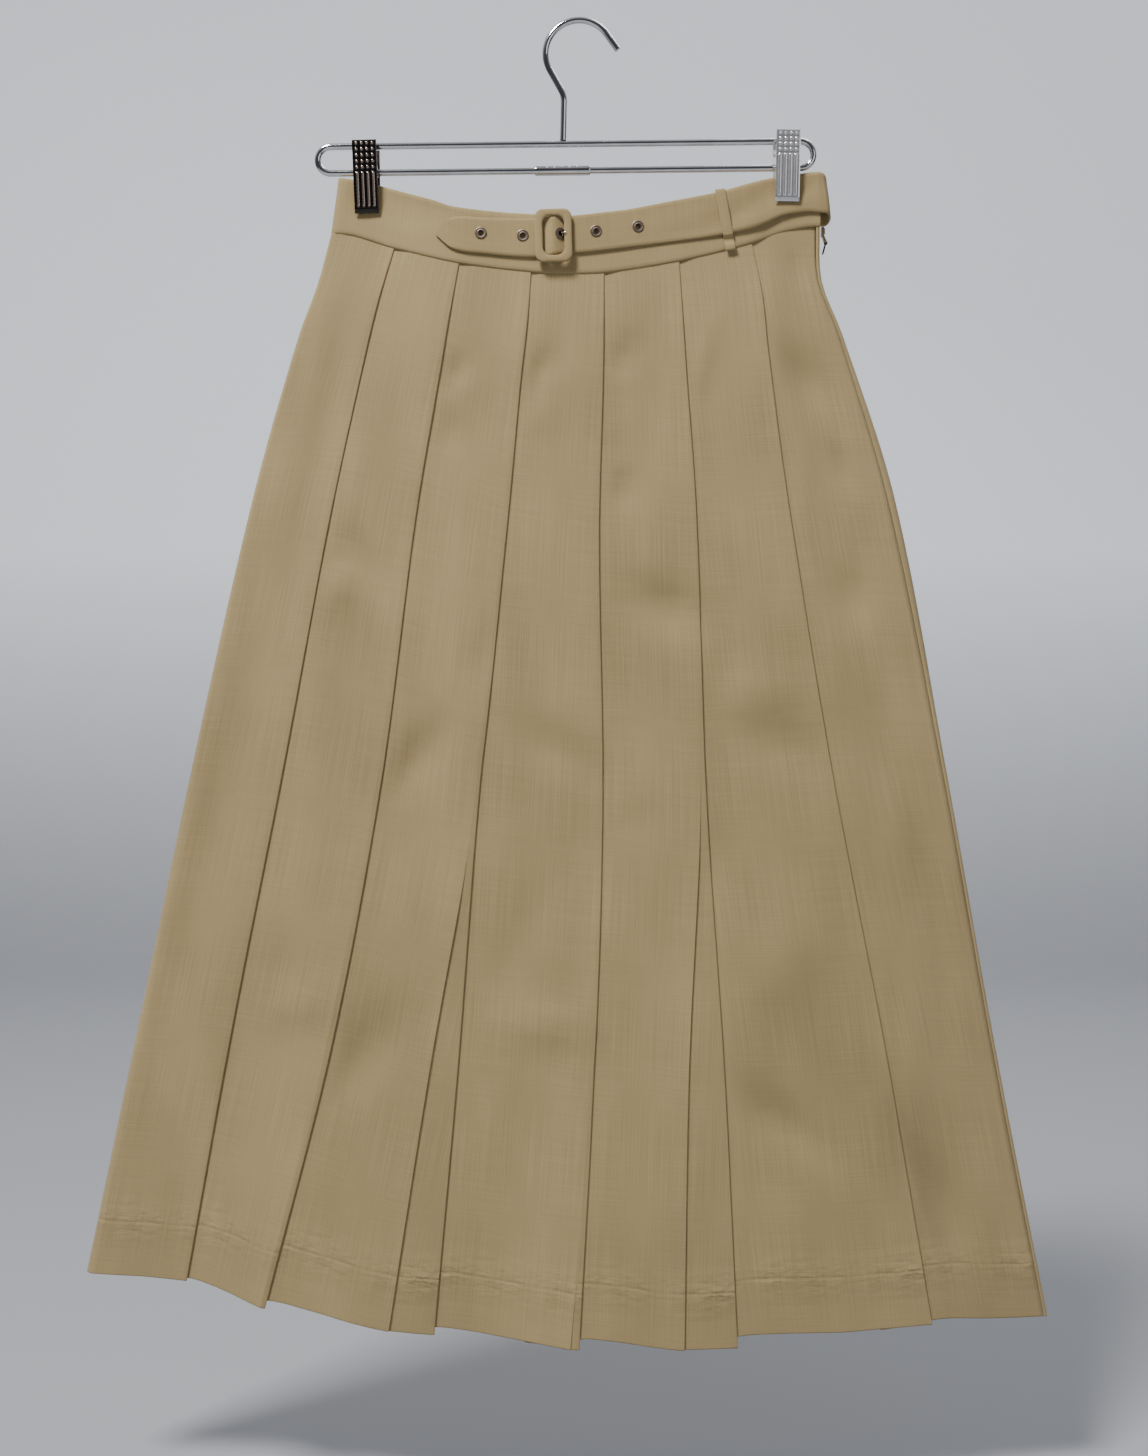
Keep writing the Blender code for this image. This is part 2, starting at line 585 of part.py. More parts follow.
def build_belt_loop():
    """Narrow loop over the strap, from the waist seam over the top edge of the strap."""
    foot = Vector((LOOP_FOOT_X, 0, curve(*WAIST_SEAM, LOOP_FOOT_X)))
    head = Vector((LOOP_HEAD_X, 0, curve(*STRAP_TOP, LOOP_HEAD_X)))
    up = (head - foot).normalized()
    across = Vector((up.z, 0, -up.x))
    top = (head - foot).length
    low_x = LOOP_FOOT_X - 2
    under_strap = (curve(*STRAP_BOTTOM, low_x) - foot.z) / up.z
    over_band = SEAM + LOOP_WALL / 2
    over_strap = SEAM + STRAP_WALL + over_band
    path = [(0.6, over_band), (under_strap - 3.4, over_band), (under_strap - 1.2, over_strap),
            (top + 0.5, over_strap), (top + 1.4, over_strap - 0.9), (top + 1.4, SEAM)]
    plan = mitred([Vector(p) for p in path], LOOP_WALL / 2)
    plan += reversed(mitred([Vector(p) for p in path], -LOOP_WALL / 2))
    form = bmesh.new()
    ends = []
    for side in (-LOOP_WIDTH / 2, LOOP_WIDTH / 2):
        ring = []
        for v, height in plan:
            place = foot + up * v + across * side
            place.y = -(band_depth(place.x, place.z) + BAND_WALL / 2 + height)
            ring.append(form.verts.new(place))
        ends.append(ring)
    count, half = len(plan), len(path)
    for i in range(count):
        form.faces.new((ends[0][i], ends[0][(i + 1) % count], ends[1][(i + 1) % count], ends[1][i]))
    for ring in ends:
        for i in range(half - 1):
            form.faces.new((ring[i], ring[i + 1], ring[count - 2 - i], ring[count - 1 - i]))
    add_piece("belt_loop", form, "belt_cloth")


# Buckle

def buckle_place(form):
    """Move a form made about the buckle's own centre and the band's outside to its place."""
    front = band_depth(BUCKLE_X, BUCKLE_Z) + BAND_WALL / 2
    tilt = Matrix.Rotation(-math.radians(BUCKLE_TILT), 4, "Y")
    bmesh.ops.transform(form, matrix=Matrix.Translation((BUCKLE_X, -front, BUCKLE_Z)) @ tilt, verts=form.verts[:])
    return form


def build_buckle():
    """Covered frame with its bar, the tab that holds the bar, and the prong."""
    back, face = -BUCKLE_BACK, -(BUCKLE_BACK + BUCKLE_THICK)
    ring = ring_of(rounded_rectangle(*BUCKLE_OUTER, 3), rounded_rectangle(*BUCKLE_INNER, 3), back, face, 0.8)
    frame = add_piece("buckle_frame", buckle_place(ring), "belt_cloth")
    bar = bmesh.new()
    bmesh.ops.create_cone(bar, cap_ends=True, segments=8, radius1=BAR_RADIUS, radius2=BAR_RADIUS,
                          depth=2 * BAR_HALF_LENGTH, matrix=Matrix.Translation((0, -BAR_HEIGHT, 0)))
    combine(frame, add_piece("buckle_bar", buckle_place(bar), "belt_cloth"), "UNION")
    for name, end in (("upper", 1), ("lower", -1)):
        low, high = sorted((end * (BAR_HALF_LENGTH - 0.2), end * (BAR_HALF_LENGTH + 1.4)))
        post = prism(((-1, -BAR_HEIGHT + 0.7), (1, -BAR_HEIGHT + 0.7), (1, back - 0.6), (-1, back - 0.6)), "Z", low, high)
        combine(frame, add_piece(f"buckle_{name}_post", buckle_place(post), "belt_cloth"), "UNION")

    inner = TAB_LOOP - TAB_WALL / 2
    outer = TAB_LOOP + TAB_WALL / 2
    foot = -BAR_HEIGHT + outer
    start = math.degrees(math.acos((outer - TAB_WALL) / outer))
    arc = [math.radians(a) for a in np.linspace(-90 - start, 90, 9)]
    around = [(outer * math.cos(a), -BAR_HEIGHT - outer * math.sin(a)) for a in arc]
    inside = [(inner * math.cos(a), -BAR_HEIGHT - inner * math.sin(a)) for a in reversed(arc[1:])]
    gap_x = inside[-1][0] - 1.0
    outline = ([(-TAB_TAIL, foot)] + [(0.0, foot)] + around[2:] + inside[:-1]
               + [(gap_x, foot - TAB_WALL), (-TAB_TAIL, foot - TAB_WALL)])
    tab = add_piece("buckle_tab", buckle_place(prism(outline, "Z", -TAB_HALF_LENGTH, TAB_HALF_LENGTH)), "belt_cloth")
    slot = prism(((-2.6, 1), (3, 1), (3, -6), (-2.6, -6)), "Z", -0.6, 2.8)
    combine(tab, add_piece("tab_slot_cutter", buckle_place(slot), "belt_cloth"), "DIFFERENCE")

    ring_points = [(PRONG_RING * math.cos(math.radians(a)), BAR_HEIGHT + PRONG_RING * math.sin(math.radians(a)))
                   for a in (300, 250, 200, 150, 100, 50, 10)]
    route = ring_points + [(2.4, 1.5), (3.6, 1.7), (4.35, 2.6), (4.9, 3.9), (5.7, 5.3), (6.9, 6.7), (8.7, 7.2)]
    front = band_depth(BUCKLE_X, BUCKLE_Z) + BAND_WALL / 2
    points = [(BUCKLE_X + x, -(front + h), BUCKLE_Z + 1.1) for x, h in route]
    tube("buckle_prong", points, PRONG_RADIUS, "bright_metal", sides=1)


# Zip

def build_zip():
    """Closed chain inside the side opening, slider at its top and the hanging pull."""
    rows = []
    for t in (0.0, 0.05, 0.1, 0.17, ZIP_BOTTOM_SHARE):
        seam = measure(RIGHT_SIDE, "x", t) - measure(RIGHT_SIDE, "turn", t)
        y = -(measure(RIGHT_SIDE, "half_depth", t) - 1.6)
        z = mix(curve(*WAIST_SEAM, seam) - SEAM / 2, curve(*HEM, RIGHT_SIDE.x[-1]), t)
        rows.append([(seam - ZIP_WIDTH / 2, y, z), (seam + ZIP_WIDTH / 2, y, z)])
    add_piece("zip_chain", cloth_wall(rows, ZIP_THICK), "zip_tape")

    cx, cy, cz = SLIDER_CENTRE
    dx, dy, dz = (s / 2 for s in SLIDER_SIZE)
    px, _, pz = PULL_PIVOT
    outline = ((cx - dx, cz + dz), (cx + dx - 0.8, cz + dz), (cx + dx, cz + dz - 1.4), (cx + dx, cz - dz + 1.2),
               (cx + dx - 1.1, cz - dz), (cx - dx, cz - dz))
    slider = add_piece("zip_slider", prism(outline, "Y", cy - dy, cy + dy), "zip_brass")
    for name, low in (("near", -1.7), ("far", 0.9)):
        arm = ((cx - dx + 0.4, cz - dz + 0.8), (cx + 0.6, cz - dz + 0.8), (px + 0.7, pz + 0.5), (px + 0.4, pz - 0.8),
               (px - 0.7, pz - 0.6))
        combine(slider, add_piece(f"slider_arm_{name}", prism(arm, "Y", cy + low, cy + low + 0.8), "zip_brass"), "UNION")
    pin = bmesh.new()
    upright = Matrix.Translation(PULL_PIVOT) @ Matrix.Rotation(math.radians(90), 4, "X")
    bmesh.ops.create_cone(pin, cap_ends=True, segments=8, radius1=0.45, radius2=0.45, depth=2.6, matrix=upright)
    combine(slider, add_piece("slider_pin", pin, "zip_brass"), "UNION")

    eye = turned(((0.8, -0.5), (1.4, -0.5), (1.4, 0.5), (0.8, 0.5)), 10)
    bmesh.ops.rotate(eye, cent=(0, 0, 0), matrix=Matrix.Rotation(math.radians(90), 3, "X"), verts=eye.verts[:])
    hang = Matrix.Translation(PULL_PIVOT) @ Matrix.Rotation(math.radians(PULL_LEAN), 4, "Y")
    bmesh.ops.transform(eye, matrix=hang, verts=eye.verts[:])
    pull = add_piece("zip_pull", eye, "pull_metal")
    half_thick, half_wide = PULL_THICK / 2, PULL_WIDTH / 2
    neck = prism(((-half_thick, -1.15), (half_thick, -1.15), (half_thick, -2.6), (-half_thick, -2.6)), "Y", -0.5, 0.5)
    plate = prism(((-half_thick, -2.3), (half_thick, -2.3), (half_thick, 0.6 - PULL_LENGTH), (0, -PULL_LENGTH),
                   (-half_thick, 0.6 - PULL_LENGTH)), "Y", -half_wide, half_wide)
    for name, form in (("pull_neck", neck), ("pull_plate", plate)):
        bmesh.ops.transform(form, matrix=hang, verts=form.verts[:])
        combine(pull, add_piece(name, form, "pull_metal"), "UNION")


# Hanger

def loop_height(x):
    """Height of the middle line of the wire loop at x."""
    share = (x - LOOP_LEFT[0]) / (LOOP_RIGHT[0] - LOOP_LEFT[0])
    return mix(LOOP_LEFT[1], LOOP_RIGHT[1], share)


def build_hanger_wire():
    """Hook, long wire loop and the sleeve that closes it."""
    start, end = HOOK_ANGLES
    centre = -(HOOK_RADIUS - WIRE_RADIUS)
    arc = [math.radians(a) for a in np.linspace(start, end, 16)]
    hook = [(HOOK_BEND[0], 0, loop_height(HOOK_BEND[0]) + LOOP_END_RADIUS + WIRE_RADIUS + SEAM),
            (HOOK_BEND[0] + 0.6, 0, HOOK_BEND[1] - 5), (HOOK_BEND[0] + 0.2, 0, HOOK_BEND[1] - 1.5),
            (HOOK_BEND[0] - 1.4, 0, HOOK_BEND[1] + 2.2)]
    hook += [(HOOK_RADIUS * math.cos(a), 0, centre + HOOK_RADIUS * math.sin(a)) for a in arc]
    hook.append((HOOK_TIP[0], 0, HOOK_TIP[1]))
    tube("hanger_hook", hook, WIRE_RADIUS, "bright_metal")

    tilt = math.atan2(LOOP_RIGHT[1] - LOOP_LEFT[1], LOOP_RIGHT[0] - LOOP_LEFT[0])
    loop = []
    for (x, z), first in ((LOOP_LEFT, 90), (LOOP_RIGHT, -90)):
        for step in range(9):
            a = math.radians(first + 180 * step / 8) + tilt
            loop.append((x + LOOP_END_RADIUS * math.cos(a), 0, z + LOOP_END_RADIUS * math.sin(a)))
    tube("hanger_loop", loop, WIRE_RADIUS, "bright_metal", closed=True)

    low, high = FERRULE_ENDS
    half = (high - low) / 2
    inner, outer = WIRE_RADIUS + SEAM, FERRULE_RADIUS + 0.3
    sleeve = turned(((inner, -half), (outer, -half), (outer, half), (inner, half)), 12)
    middle = (low + high) / 2
    place = (Matrix.Translation((middle, 0, loop_height(middle) - LOOP_END_RADIUS))
             @ Matrix.Rotation(-tilt, 4, "Y") @ Matrix.Rotation(math.radians(90), 4, "Y"))
    bmesh.ops.transform(sleeve, matrix=place, verts=sleeve.verts[:])
    add_piece("hanger_ferrule", sleeve, "bright_metal", smooth=True)


def leaf_outline(clip):
    """Side profile of a leaf, as depth in front of the wire against height above it."""
    mouth, jaw, plate = CLIP_MOUTH, clip.jaw, CLIP_PLATE
    above, below = clip.above, clip.below
    return ((mouth, above), (mouth + plate, above), (jaw + 1.6 + plate, -below + 2.6), (jaw + 1.9, -below),
            (jaw, -below), (jaw, -below + 1.2), (jaw + 1.6, -below + 3.2))


def leaf_depth(clip, height):
    """Depth of a leaf's inner face at a height above the wire."""
    low = -clip.below + 3.2
    return mix(clip.jaw + 1.6, CLIP_MOUTH, (height - low) / (clip.above - low))


def build_clip(clip):
    """Two leaves that grip the band, with ears round the lower wire, and the spring between them."""
    pivot = Vector((clip.x, 0, loop_height(clip.x) - LOOP_END_RADIUS))
    lean = Matrix.Rotation(math.radians(clip.lean), 4, "Y")
    place = Matrix.Translation(pivot) @ lean
    for side, direction in (("front", -1), ("back", 1)):
        outline = [(direction * depth, height) for depth, height in leaf_outline(clip)]
        leaf = prism(outline, "X", -CLIP_WIDTH / 2, CLIP_WIDTH / 2)
        bmesh.ops.transform(leaf, matrix=place, verts=leaf.verts[:])
        piece = add_piece(f"clip_{clip.side}_{side}", leaf, "dark_chrome" if clip.side == "left" else "bright_metal")
        reach = leaf_depth(clip, 0.0) + 0.5
        ear = [(direction * (leaf_depth(clip, 7.0) + 0.5), 7.0), (direction * (leaf_depth(clip, -EAR_DROP) + 0.5), -EAR_DROP)]
        ear += [(-direction * EAR_RADIUS * math.cos(math.radians(a)), EAR_RADIUS * math.sin(math.radians(a)))
                for a in (-75, -40, 0, 40, 75)]
        for end, at in (("low", -1), ("high", 1)):
            low, high = sorted((at * EAR_PLACES[side], at * (EAR_PLACES[side] - EAR_WALL)))
            form = prism(ear, "X", low, high)
            bmesh.ops.transform(form, matrix=place, verts=form.verts[:])
            combine(piece, add_piece(f"{piece.name}_{end}_ear", form, "bright_metal"), "UNION")
        hole = bmesh.new()
        bmesh.ops.create_cone(hole, cap_ends=True, segments=12, radius1=PIVOT_HOLE, radius2=PIVOT_HOLE,
                              depth=2 * CLIP_WIDTH, matrix=place @ Matrix.Rotation(math.radians(90), 4, "Y"))
        combine(piece, add_piece(f"{piece.name}_wire_cutter", hole, "bright_metal"), "DIFFERENCE")
    spring = turned(((PIVOT_HOLE, -SPRING_HALF_LENGTH), (SPRING_OUTER, -SPRING_HALF_LENGTH),
                     (SPRING_OUTER, SPRING_HALF_LENGTH), (PIVOT_HOLE, SPRING_HALF_LENGTH)), 12)
    bmesh.ops.transform(spring, matrix=place @ Matrix.Rotation(math.radians(90), 4, "Y"), verts=spring.verts[:])
    add_piece(f"clip_{clip.side}_spring", spring, "bright_metal", smooth=True)


def main():
    """Clear the scene and build the skirt and its hanger."""
    for old in list(bpy.data.objects):
        bpy.data.objects.remove(old)
    build_skirt()
    build_waistband()
    build_strap()
    build_belt_loop()
    build_buckle()
    build_zip()
    build_hanger_wire()
    for clip in CLIPS:
        build_clip(clip)


main()
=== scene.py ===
"""Looks of a knife-pleated skirt with a self belt, clipped by its waistband to a wire hanger.

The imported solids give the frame. The cloth is made again as thin sheets on the solids' form, and the
wire, clips, buckle and eyelets get their fine shape. Sizes in the classes are millimetres in the
frame's axes: +Z up, the front of the skirt towards -Y, the origin inside the hook.
"""

import logging
import math
from dataclasses import dataclass, field
from enum import Enum
from functools import reduce
from itertools import accumulate
from typing import Callable, Iterable, Sequence

import bmesh
import bpy
from mathutils import Matrix, Vector, noise

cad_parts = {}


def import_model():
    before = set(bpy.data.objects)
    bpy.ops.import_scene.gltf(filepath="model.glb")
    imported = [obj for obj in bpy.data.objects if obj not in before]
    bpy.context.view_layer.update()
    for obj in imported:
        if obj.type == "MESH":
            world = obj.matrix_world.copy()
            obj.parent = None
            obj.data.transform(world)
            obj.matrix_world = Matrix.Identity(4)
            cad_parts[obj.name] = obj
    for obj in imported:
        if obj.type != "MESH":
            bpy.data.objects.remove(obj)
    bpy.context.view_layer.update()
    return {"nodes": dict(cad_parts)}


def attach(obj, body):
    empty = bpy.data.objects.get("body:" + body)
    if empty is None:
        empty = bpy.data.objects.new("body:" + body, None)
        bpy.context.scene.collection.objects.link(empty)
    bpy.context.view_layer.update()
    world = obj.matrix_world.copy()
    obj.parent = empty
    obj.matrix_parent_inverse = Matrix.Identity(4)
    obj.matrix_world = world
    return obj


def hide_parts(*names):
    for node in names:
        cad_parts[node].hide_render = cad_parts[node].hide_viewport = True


LOG = logging.getLogger("skirt")
MM = 0.001
BODY = "skirt_and_hanger"
UP = Vector((0, 0, 1))
WAVE_LENGTH = 0.314

Numbers = tuple[float, ...]
Pair = tuple[float, float]
Triple = tuple[float, float, float]
Table = tuple[Numbers, Numbers]
Row = list[Vector]
Form = bmesh.types.BMesh
Material = bpy.types.Material
Piece = bpy.types.Object
Socket = bpy.types.NodeSocket


class Face(Enum):
    """The two sides of the skirt: the sign of Y on each."""

    FRONT = -1
    BACK = 1


# Small sums

def mix(low: float, high: float, share: float) -> float:
    """Return the straight mix of two numbers."""
    return low + (high - low) * share


def ease(low: float, high: float, at: float) -> float:
    """Return 0 at low, 1 at high, a soft step between, and the end's value beyond either."""
    share = min(max((at - low) / (high - low), 0.0), 1.0)
    return share * share * (3.0 - 2.0 * share)


def curve(places: Sequence[float], values: Sequence[float], at: float) -> float:
    """Return the value at one place on a smooth line through the listed places.

    Args:
        places: rising places.
        values: the value at each place.
        at: the place asked for, held to the ends.

    Returns:
        The value there.
    """
    last = len(places) - 1
    at = min(max(at, places[0]), places[last])
    i = next((k for k in range(last) if at <= places[k + 1]), last - 1)
    span = places[i + 1] - places[i]

    def slope(k: int) -> float:
        """Return the line's slope at one of the places."""
        low, high = max(k - 1, 0), min(k + 1, last)
        return (values[high] - values[low]) / (places[high] - places[low])

    s = (at - places[i]) / span
    return ((2 * s**3 - 3 * s**2 + 1) * values[i] + (s**3 - 2 * s**2 + s) * span * slope(i)
            + (3 * s**2 - 2 * s**3) * values[i + 1] + (s**3 - s**2) * span * slope(i + 1))


def fractions(count: int) -> list[float]:
    """Return 0 to 1 in equal steps."""
    return [i / count for i in range(count + 1)]


def circle(corners: int) -> list[float]:
    """Return the angles of a circle's corners."""
    return [math.tau * k / corners for k in range(corners)]


def arc(centre: Pair, radius: float, angles: Iterable[float]) -> list[Pair]:
    """Return the points of a circle at some angles."""
    return [(centre[0] + radius * math.cos(a), centre[1] + radius * math.sin(a)) for a in angles]


def upright(x: float, z: float) -> Vector:
    """Return a point in the plane of the hanger."""
    return Vector((x, 0, z))


def runs(points: Sequence[Vector]) -> list[float]:
    """Return how far along a line of points each of them lies."""
    return [0.0, *accumulate((b - a).length for a, b in zip(points, points[1:]))]


# Finishes

class NodeBench:
    """Lays out the nodes of one material, or of the world, around its shader."""

    def __init__(self, owner: Material | bpy.types.World, shader: str = "Principled BSDF") -> None:
        """Take the owner's own nodes.

        Args:
            owner: a new material or world.
            shader: the name of its shader.
        """
        owner.use_nodes = True
        self.owner = owner
        self.tree = owner.node_tree
        self.shader = self.tree.nodes[shader]

    def node(self, kind: str, inputs: dict | None = None, **settings: object) -> bpy.types.Node:
        """Add a node.

        Args:
            kind: the node's type name.
            inputs: input name or number to a value, or to a socket to link.
            settings: plain properties of the node.

        Returns:
            The node.
        """
        made = self.tree.nodes.new(kind)
        for key, value in settings.items():
            setattr(made, key, value)
        self.feed(made, inputs or {})
        return made

    def feed(self, node: bpy.types.Node, inputs: dict) -> None:
        """Link or set the inputs of a node.

        Args:
            node: the node.
            inputs: input name or number to a value, or to a socket to link.
        """
        for key, value in inputs.items():
            if isinstance(value, Socket):
                self.tree.links.new(value, node.inputs[key])
            else:
                node.inputs[key].default_value = value

    def sum_of(self, first: object, second: object, operation: str = "ADD") -> Socket:
        """Return the result of one Math node on two values."""
        return self.node("ShaderNodeMath", {0: first, 1: second}, operation=operation).outputs[0]

    def blend(self, *parts: tuple[Socket, float]) -> Socket:
        """Return the sum of some values, each times its share."""
        return reduce(self.sum_of, [self.sum_of(value, share, "MULTIPLY") for value, share in parts])

    def spread(self, value: Socket, low: float, high: float, start: float = 0.0, end: float = 1.0) -> Socket:
        """Return a value's way from low to high as one from start to end."""
        return self.node("ShaderNodeMapRange", {0: value, 1: low, 2: high, 3: start, 4: end}).outputs[0]

    def noise_on(self, vector: Socket, cells: Sequence[float], octaves: float) -> Socket:
        """Return noise on a stretched vector.

        Args:
            vector: the coordinates to read.
            cells: how many noise cells to the metre along each axis.
            octaves: how many octaves of finer noise.

        Returns:
            The noise's factor.
        """
        placed = self.node("ShaderNodeMapping", {"Vector": vector, "Scale": tuple(cells)}).outputs[0]
        return self.node("ShaderNodeTexNoise", {"Vector": placed, "Scale": 1.0, "Detail": octaves}).outputs[0]

    def ramp(self, value: Socket, *stops: tuple[float, Triple]) -> Socket:
        """Return a colour by a value.

        Args:
            value: what drives the colour.
            stops: value and colour of each stop, rising.

        Returns:
            The colour.
        """
        made = self.node("ShaderNodeValToRGB", {0: value})
        ends = made.color_ramp.elements
        for stop, (place, colour) in zip(ends, (stops[0], stops[-1])):
            stop.position = place
            stop.color = (*colour, 1.0)
        for place, colour in stops[1:-1]:
            ends.new(place).color = (*colour, 1.0)
        return made.outputs[0]

    def dress(self, inputs: dict) -> None:
        """Link or set the inputs of the shader."""
        self.feed(self.shader, inputs)

    def bump(self, height: Socket, distance: float, strength: float) -> Socket:
        """Return the normal of a bumped surface."""
        inputs = {"Height": height, "Strength": strength, "Distance": distance}
        return self.node("ShaderNodeBump", inputs).outputs[0]

    def object_place(self) -> Socket:
        """Return the Object coordinates."""
        return self.node("ShaderNodeTexCoord").outputs["Object"]


@dataclass(frozen=True)
class ClothFinish:
    """Plain-woven cloth with slubs, read from the sheet's own UV map in metres.

    Each row of grain is a noise: its cells to the metre, its octaves and its share. thread is the
    distance between threads, and hem the height of the line where the hem is caught up.
    """

    name: str
    colour: Triple
    shade: float = 0.18
    roughness: float = 0.86
    sheen: float = 0.18
    thread: float = 0.42
    hem: float = 0.0
    grain: tuple[tuple[Triple, float, float], ...] = (
        ((1700, 12, 1), 3.0, 0.5), ((18, 1900, 1), 2.0, 0.3), ((2600, 2600, 1), 2.0, 0.2))
    patch_cells: Triple = (16, 16, 9)
    patch_share: float = 0.3
    tone_range: Pair = (0.38, 0.62)
    bump_grain: float = 0.6
    bump_threads: float = 0.2
    bump_depth: float = 0.00025
    bump_strength: float = 0.8
    line_width: float = 0.0016
    line_share: float = 1.6
    pucker_reach: Pair = (0.002, 0.018)
    pucker_cells: Triple = (80, 150, 1)
    pucker_share: float = 9.0
    catch_cells: Triple = (28, 1, 1)
    catch_range: Pair = (0.4, 0.65)
    catch_least: float = 0.4

    def material(self) -> Material:
        """Make the cloth's material.

        Returns:
            The material.
        """
        bench = NodeBench(bpy.data.materials.new(self.name))
        weave = bench.node("ShaderNodeUVMap", uv_map="cloth").outputs[0]
        grain = bench.blend(*((bench.noise_on(weave, cells, octaves), share)
                              for cells, octaves, share in self.grain))
        patches = bench.noise_on(bench.object_place(), self.patch_cells, 2.0)
        tone = bench.blend((grain, 1 - self.patch_share), (patches, self.patch_share))
        low, high = self.tone_range
        dark, light = (tuple(c * (1 + step) for c in self.colour) for step in (-self.shade, self.shade))
        waves = WAVE_LENGTH / (self.thread * MM)
        threads = [bench.node("ShaderNodeTexWave", {"Vector": weave, "Scale": waves}, wave_type="BANDS",
                              bands_direction=axis).outputs[1] for axis in ("X", "Y")]
        height = bench.blend((grain, self.bump_grain), *((wave, self.bump_threads) for wave in threads))
        if self.hem:
            height = bench.sum_of(height, self.hem_stitching(bench, weave))
        bench.dress({"Base Color": bench.ramp(tone, (low, dark), (high, light)),
                     "Normal": bench.bump(height, self.bump_depth, self.bump_strength),
                     "Roughness": self.roughness, "Sheen Weight": self.sheen, "Sheen Roughness": 0.5,
                     "Specular IOR Level": 0.25})
        return bench.owner

    def hem_stitching(self, bench: NodeBench, weave: Socket) -> Socket:
        """Make the line where the hem is caught up, with small puckers along it.

        Args:
            bench: the material's nodes.
            weave: the cloth's own coordinates.

        Returns:
            The height of the line.
        """
        along = bench.node("ShaderNodeSeparateXYZ", {0: weave}).outputs[1]
        away = bench.sum_of(bench.sum_of(along, self.hem * MM, "SUBTRACT"), 0.0, "ABSOLUTE")
        line = bench.spread(away, 0.0, self.line_width, -1.0, 0.0)
        near = bench.spread(away, *self.pucker_reach, 1.0, 0.0)
        pucker = bench.sum_of(bench.noise_on(weave, self.pucker_cells, 2.0), near, "MULTIPLY")
        patchy = bench.spread(bench.noise_on(weave, self.catch_cells, 1.0), *self.catch_range)
        seam = bench.blend((line, self.line_share), (pucker, self.pucker_share))
        return bench.sum_of(seam, bench.sum_of(patchy, self.catch_least), "MULTIPLY")


@dataclass(frozen=True)
class MetalFinish:
    """Plated or lacquered metal with fine wear, and a painted highlight: a lighter tone on the high places
    that the mesh marks.
    """

    name: str
    colour: Triple
    # Colour of the painted highlight on the tops of dots and ribs; none for plain metal.
    raised_highlight: Triple | None = None
    roughness: float = 0.16
    wear: float = 0.08
    metallic: float = 1.0
    dulled: float = 0.86
    scratch_cells: Triple = (240, 240, 2400)
    dust_cells: Triple = (90, 90, 90)
    dust_range: Pair = (0.35, 0.65)

    def material(self) -> Material:
        """Make the metal's material.

        Returns:
            The material.
        """
        bench = NodeBench(bpy.data.materials.new(self.name))
        place = bench.object_place()
        scratches = bench.noise_on(place, self.scratch_cells, 3.0)
        dust = bench.noise_on(place, self.dust_cells, 3.0)
        low, high = self.dust_range
        colour = bench.ramp(dust, (low, tuple(c * self.dulled for c in self.colour)), (high, self.colour))
        # Painted highlight: where the mesh marks the tops, the colour turns to the lighter tone.
        if self.raised_highlight:
            lift = bench.node("ShaderNodeAttribute", attribute_name="raised_highlight").outputs["Fac"]
            inputs = {0: lift, 6: colour, 7: (*self.raised_highlight, 1.0)}
            colour = bench.node("ShaderNodeMix", inputs, data_type="RGBA").outputs[2]
        rough = bench.sum_of(bench.sum_of(scratches, self.wear * 2, "MULTIPLY"), self.roughness - self.wear)
        bench.dress({"Base Color": colour, "Roughness": rough, "Metallic": self.metallic,
                     "Normal": bench.bump(scratches, 0.00003, 0.25)})
        return bench.owner


SKIRT_CLOTH = ClothFinish("skirt cloth", (0.400, 0.302, 0.145), hem=37.0)
BAND_CLOTH = ClothFinish("waistband cloth", SKIRT_CLOTH.colour, shade=0.14)
BELT_CLOTH = ClothFinish("belt cloth", (0.390, 0.291, 0.138), shade=0.14)
BUCKLE_CLOTH = ClothFinish("buckle cloth", BELT_CLOTH.colour, shade=0.12)
TAPE_CLOTH = ClothFinish("zip tape", (0.28, 0.22, 0.14), thread=0.3)
BRIGHT = MetalFinish("bright plate", (0.78, 0.78, 0.80), roughness=0.10, wear=0.04)
STAMPED = MetalFinish("stamped plate", (0.84, 0.84, 0.86), roughness=0.20, wear=0.05, metallic=0.8)
# The pinkish tone on the dark plate's dot and rib tops is a painted highlight.
GUNMETAL = MetalFinish("dark plate", (0.06, 0.052, 0.048), raised_highlight=(0.95, 0.74, 0.63), roughness=0.26)
EYELET = MetalFinish("eyelet lacquer", (0.21, 0.165, 0.13), roughness=0.45, wear=0.1)
BRASS = MetalFinish("zip brass", (0.46, 0.37, 0.2), roughness=0.3, wear=0.1)
BLACKED = MetalFinish("blacked pull", (0.05, 0.042, 0.036), roughness=0.32, wear=0.1)


# Making meshes

def loft(sections: Sequence[Row], ring: bool = False, hoop: bool = False, caps: bool = False,
         uvs: Sequence[Sequence[Pair]] | None = None) -> Form:
    """Draw a grid through sections that have as many points each.

    Args:
        sections: rows of points, in millimetres.
        ring: each section closes on itself.
        hoop: the last section joins the first.
        caps: close the two open ends.
        uvs: a place on the cloth for each point, in metres.

    Returns:
        The mesh.
    """
    rows, columns = len(sections), len(sections[0])
    across, down = columns + ring, rows + hoop
    form = bmesh.new()
    bmesh.ops.create_grid(form, x_segments=across - 1, y_segments=down - 1, size=0.5)
    spots = {v: (round((v.co.y + 0.5) * (down - 1)), round((v.co.x + 0.5) * (across - 1)))
             for v in form.verts}
    if uvs:
        layer = form.loops.layers.uv.new("cloth")
        for corner in (corner for face in form.faces for corner in face.loops):
            row, column = spots[corner.vert]
            corner[layer].uv = uvs[row][column]
    for vert, (row, column) in spots.items():
        vert.co = sections[row % rows][column % columns]
    if ring or hoop:
        bmesh.ops.remove_doubles(form, verts=form.verts[:], dist=0.0001)
    if caps:
        bmesh.ops.holes_fill(form, edges=[e for e in form.edges if e.is_boundary], sides=0)
    bmesh.ops.recalc_face_normals(form, faces=form.faces[:])
    return form


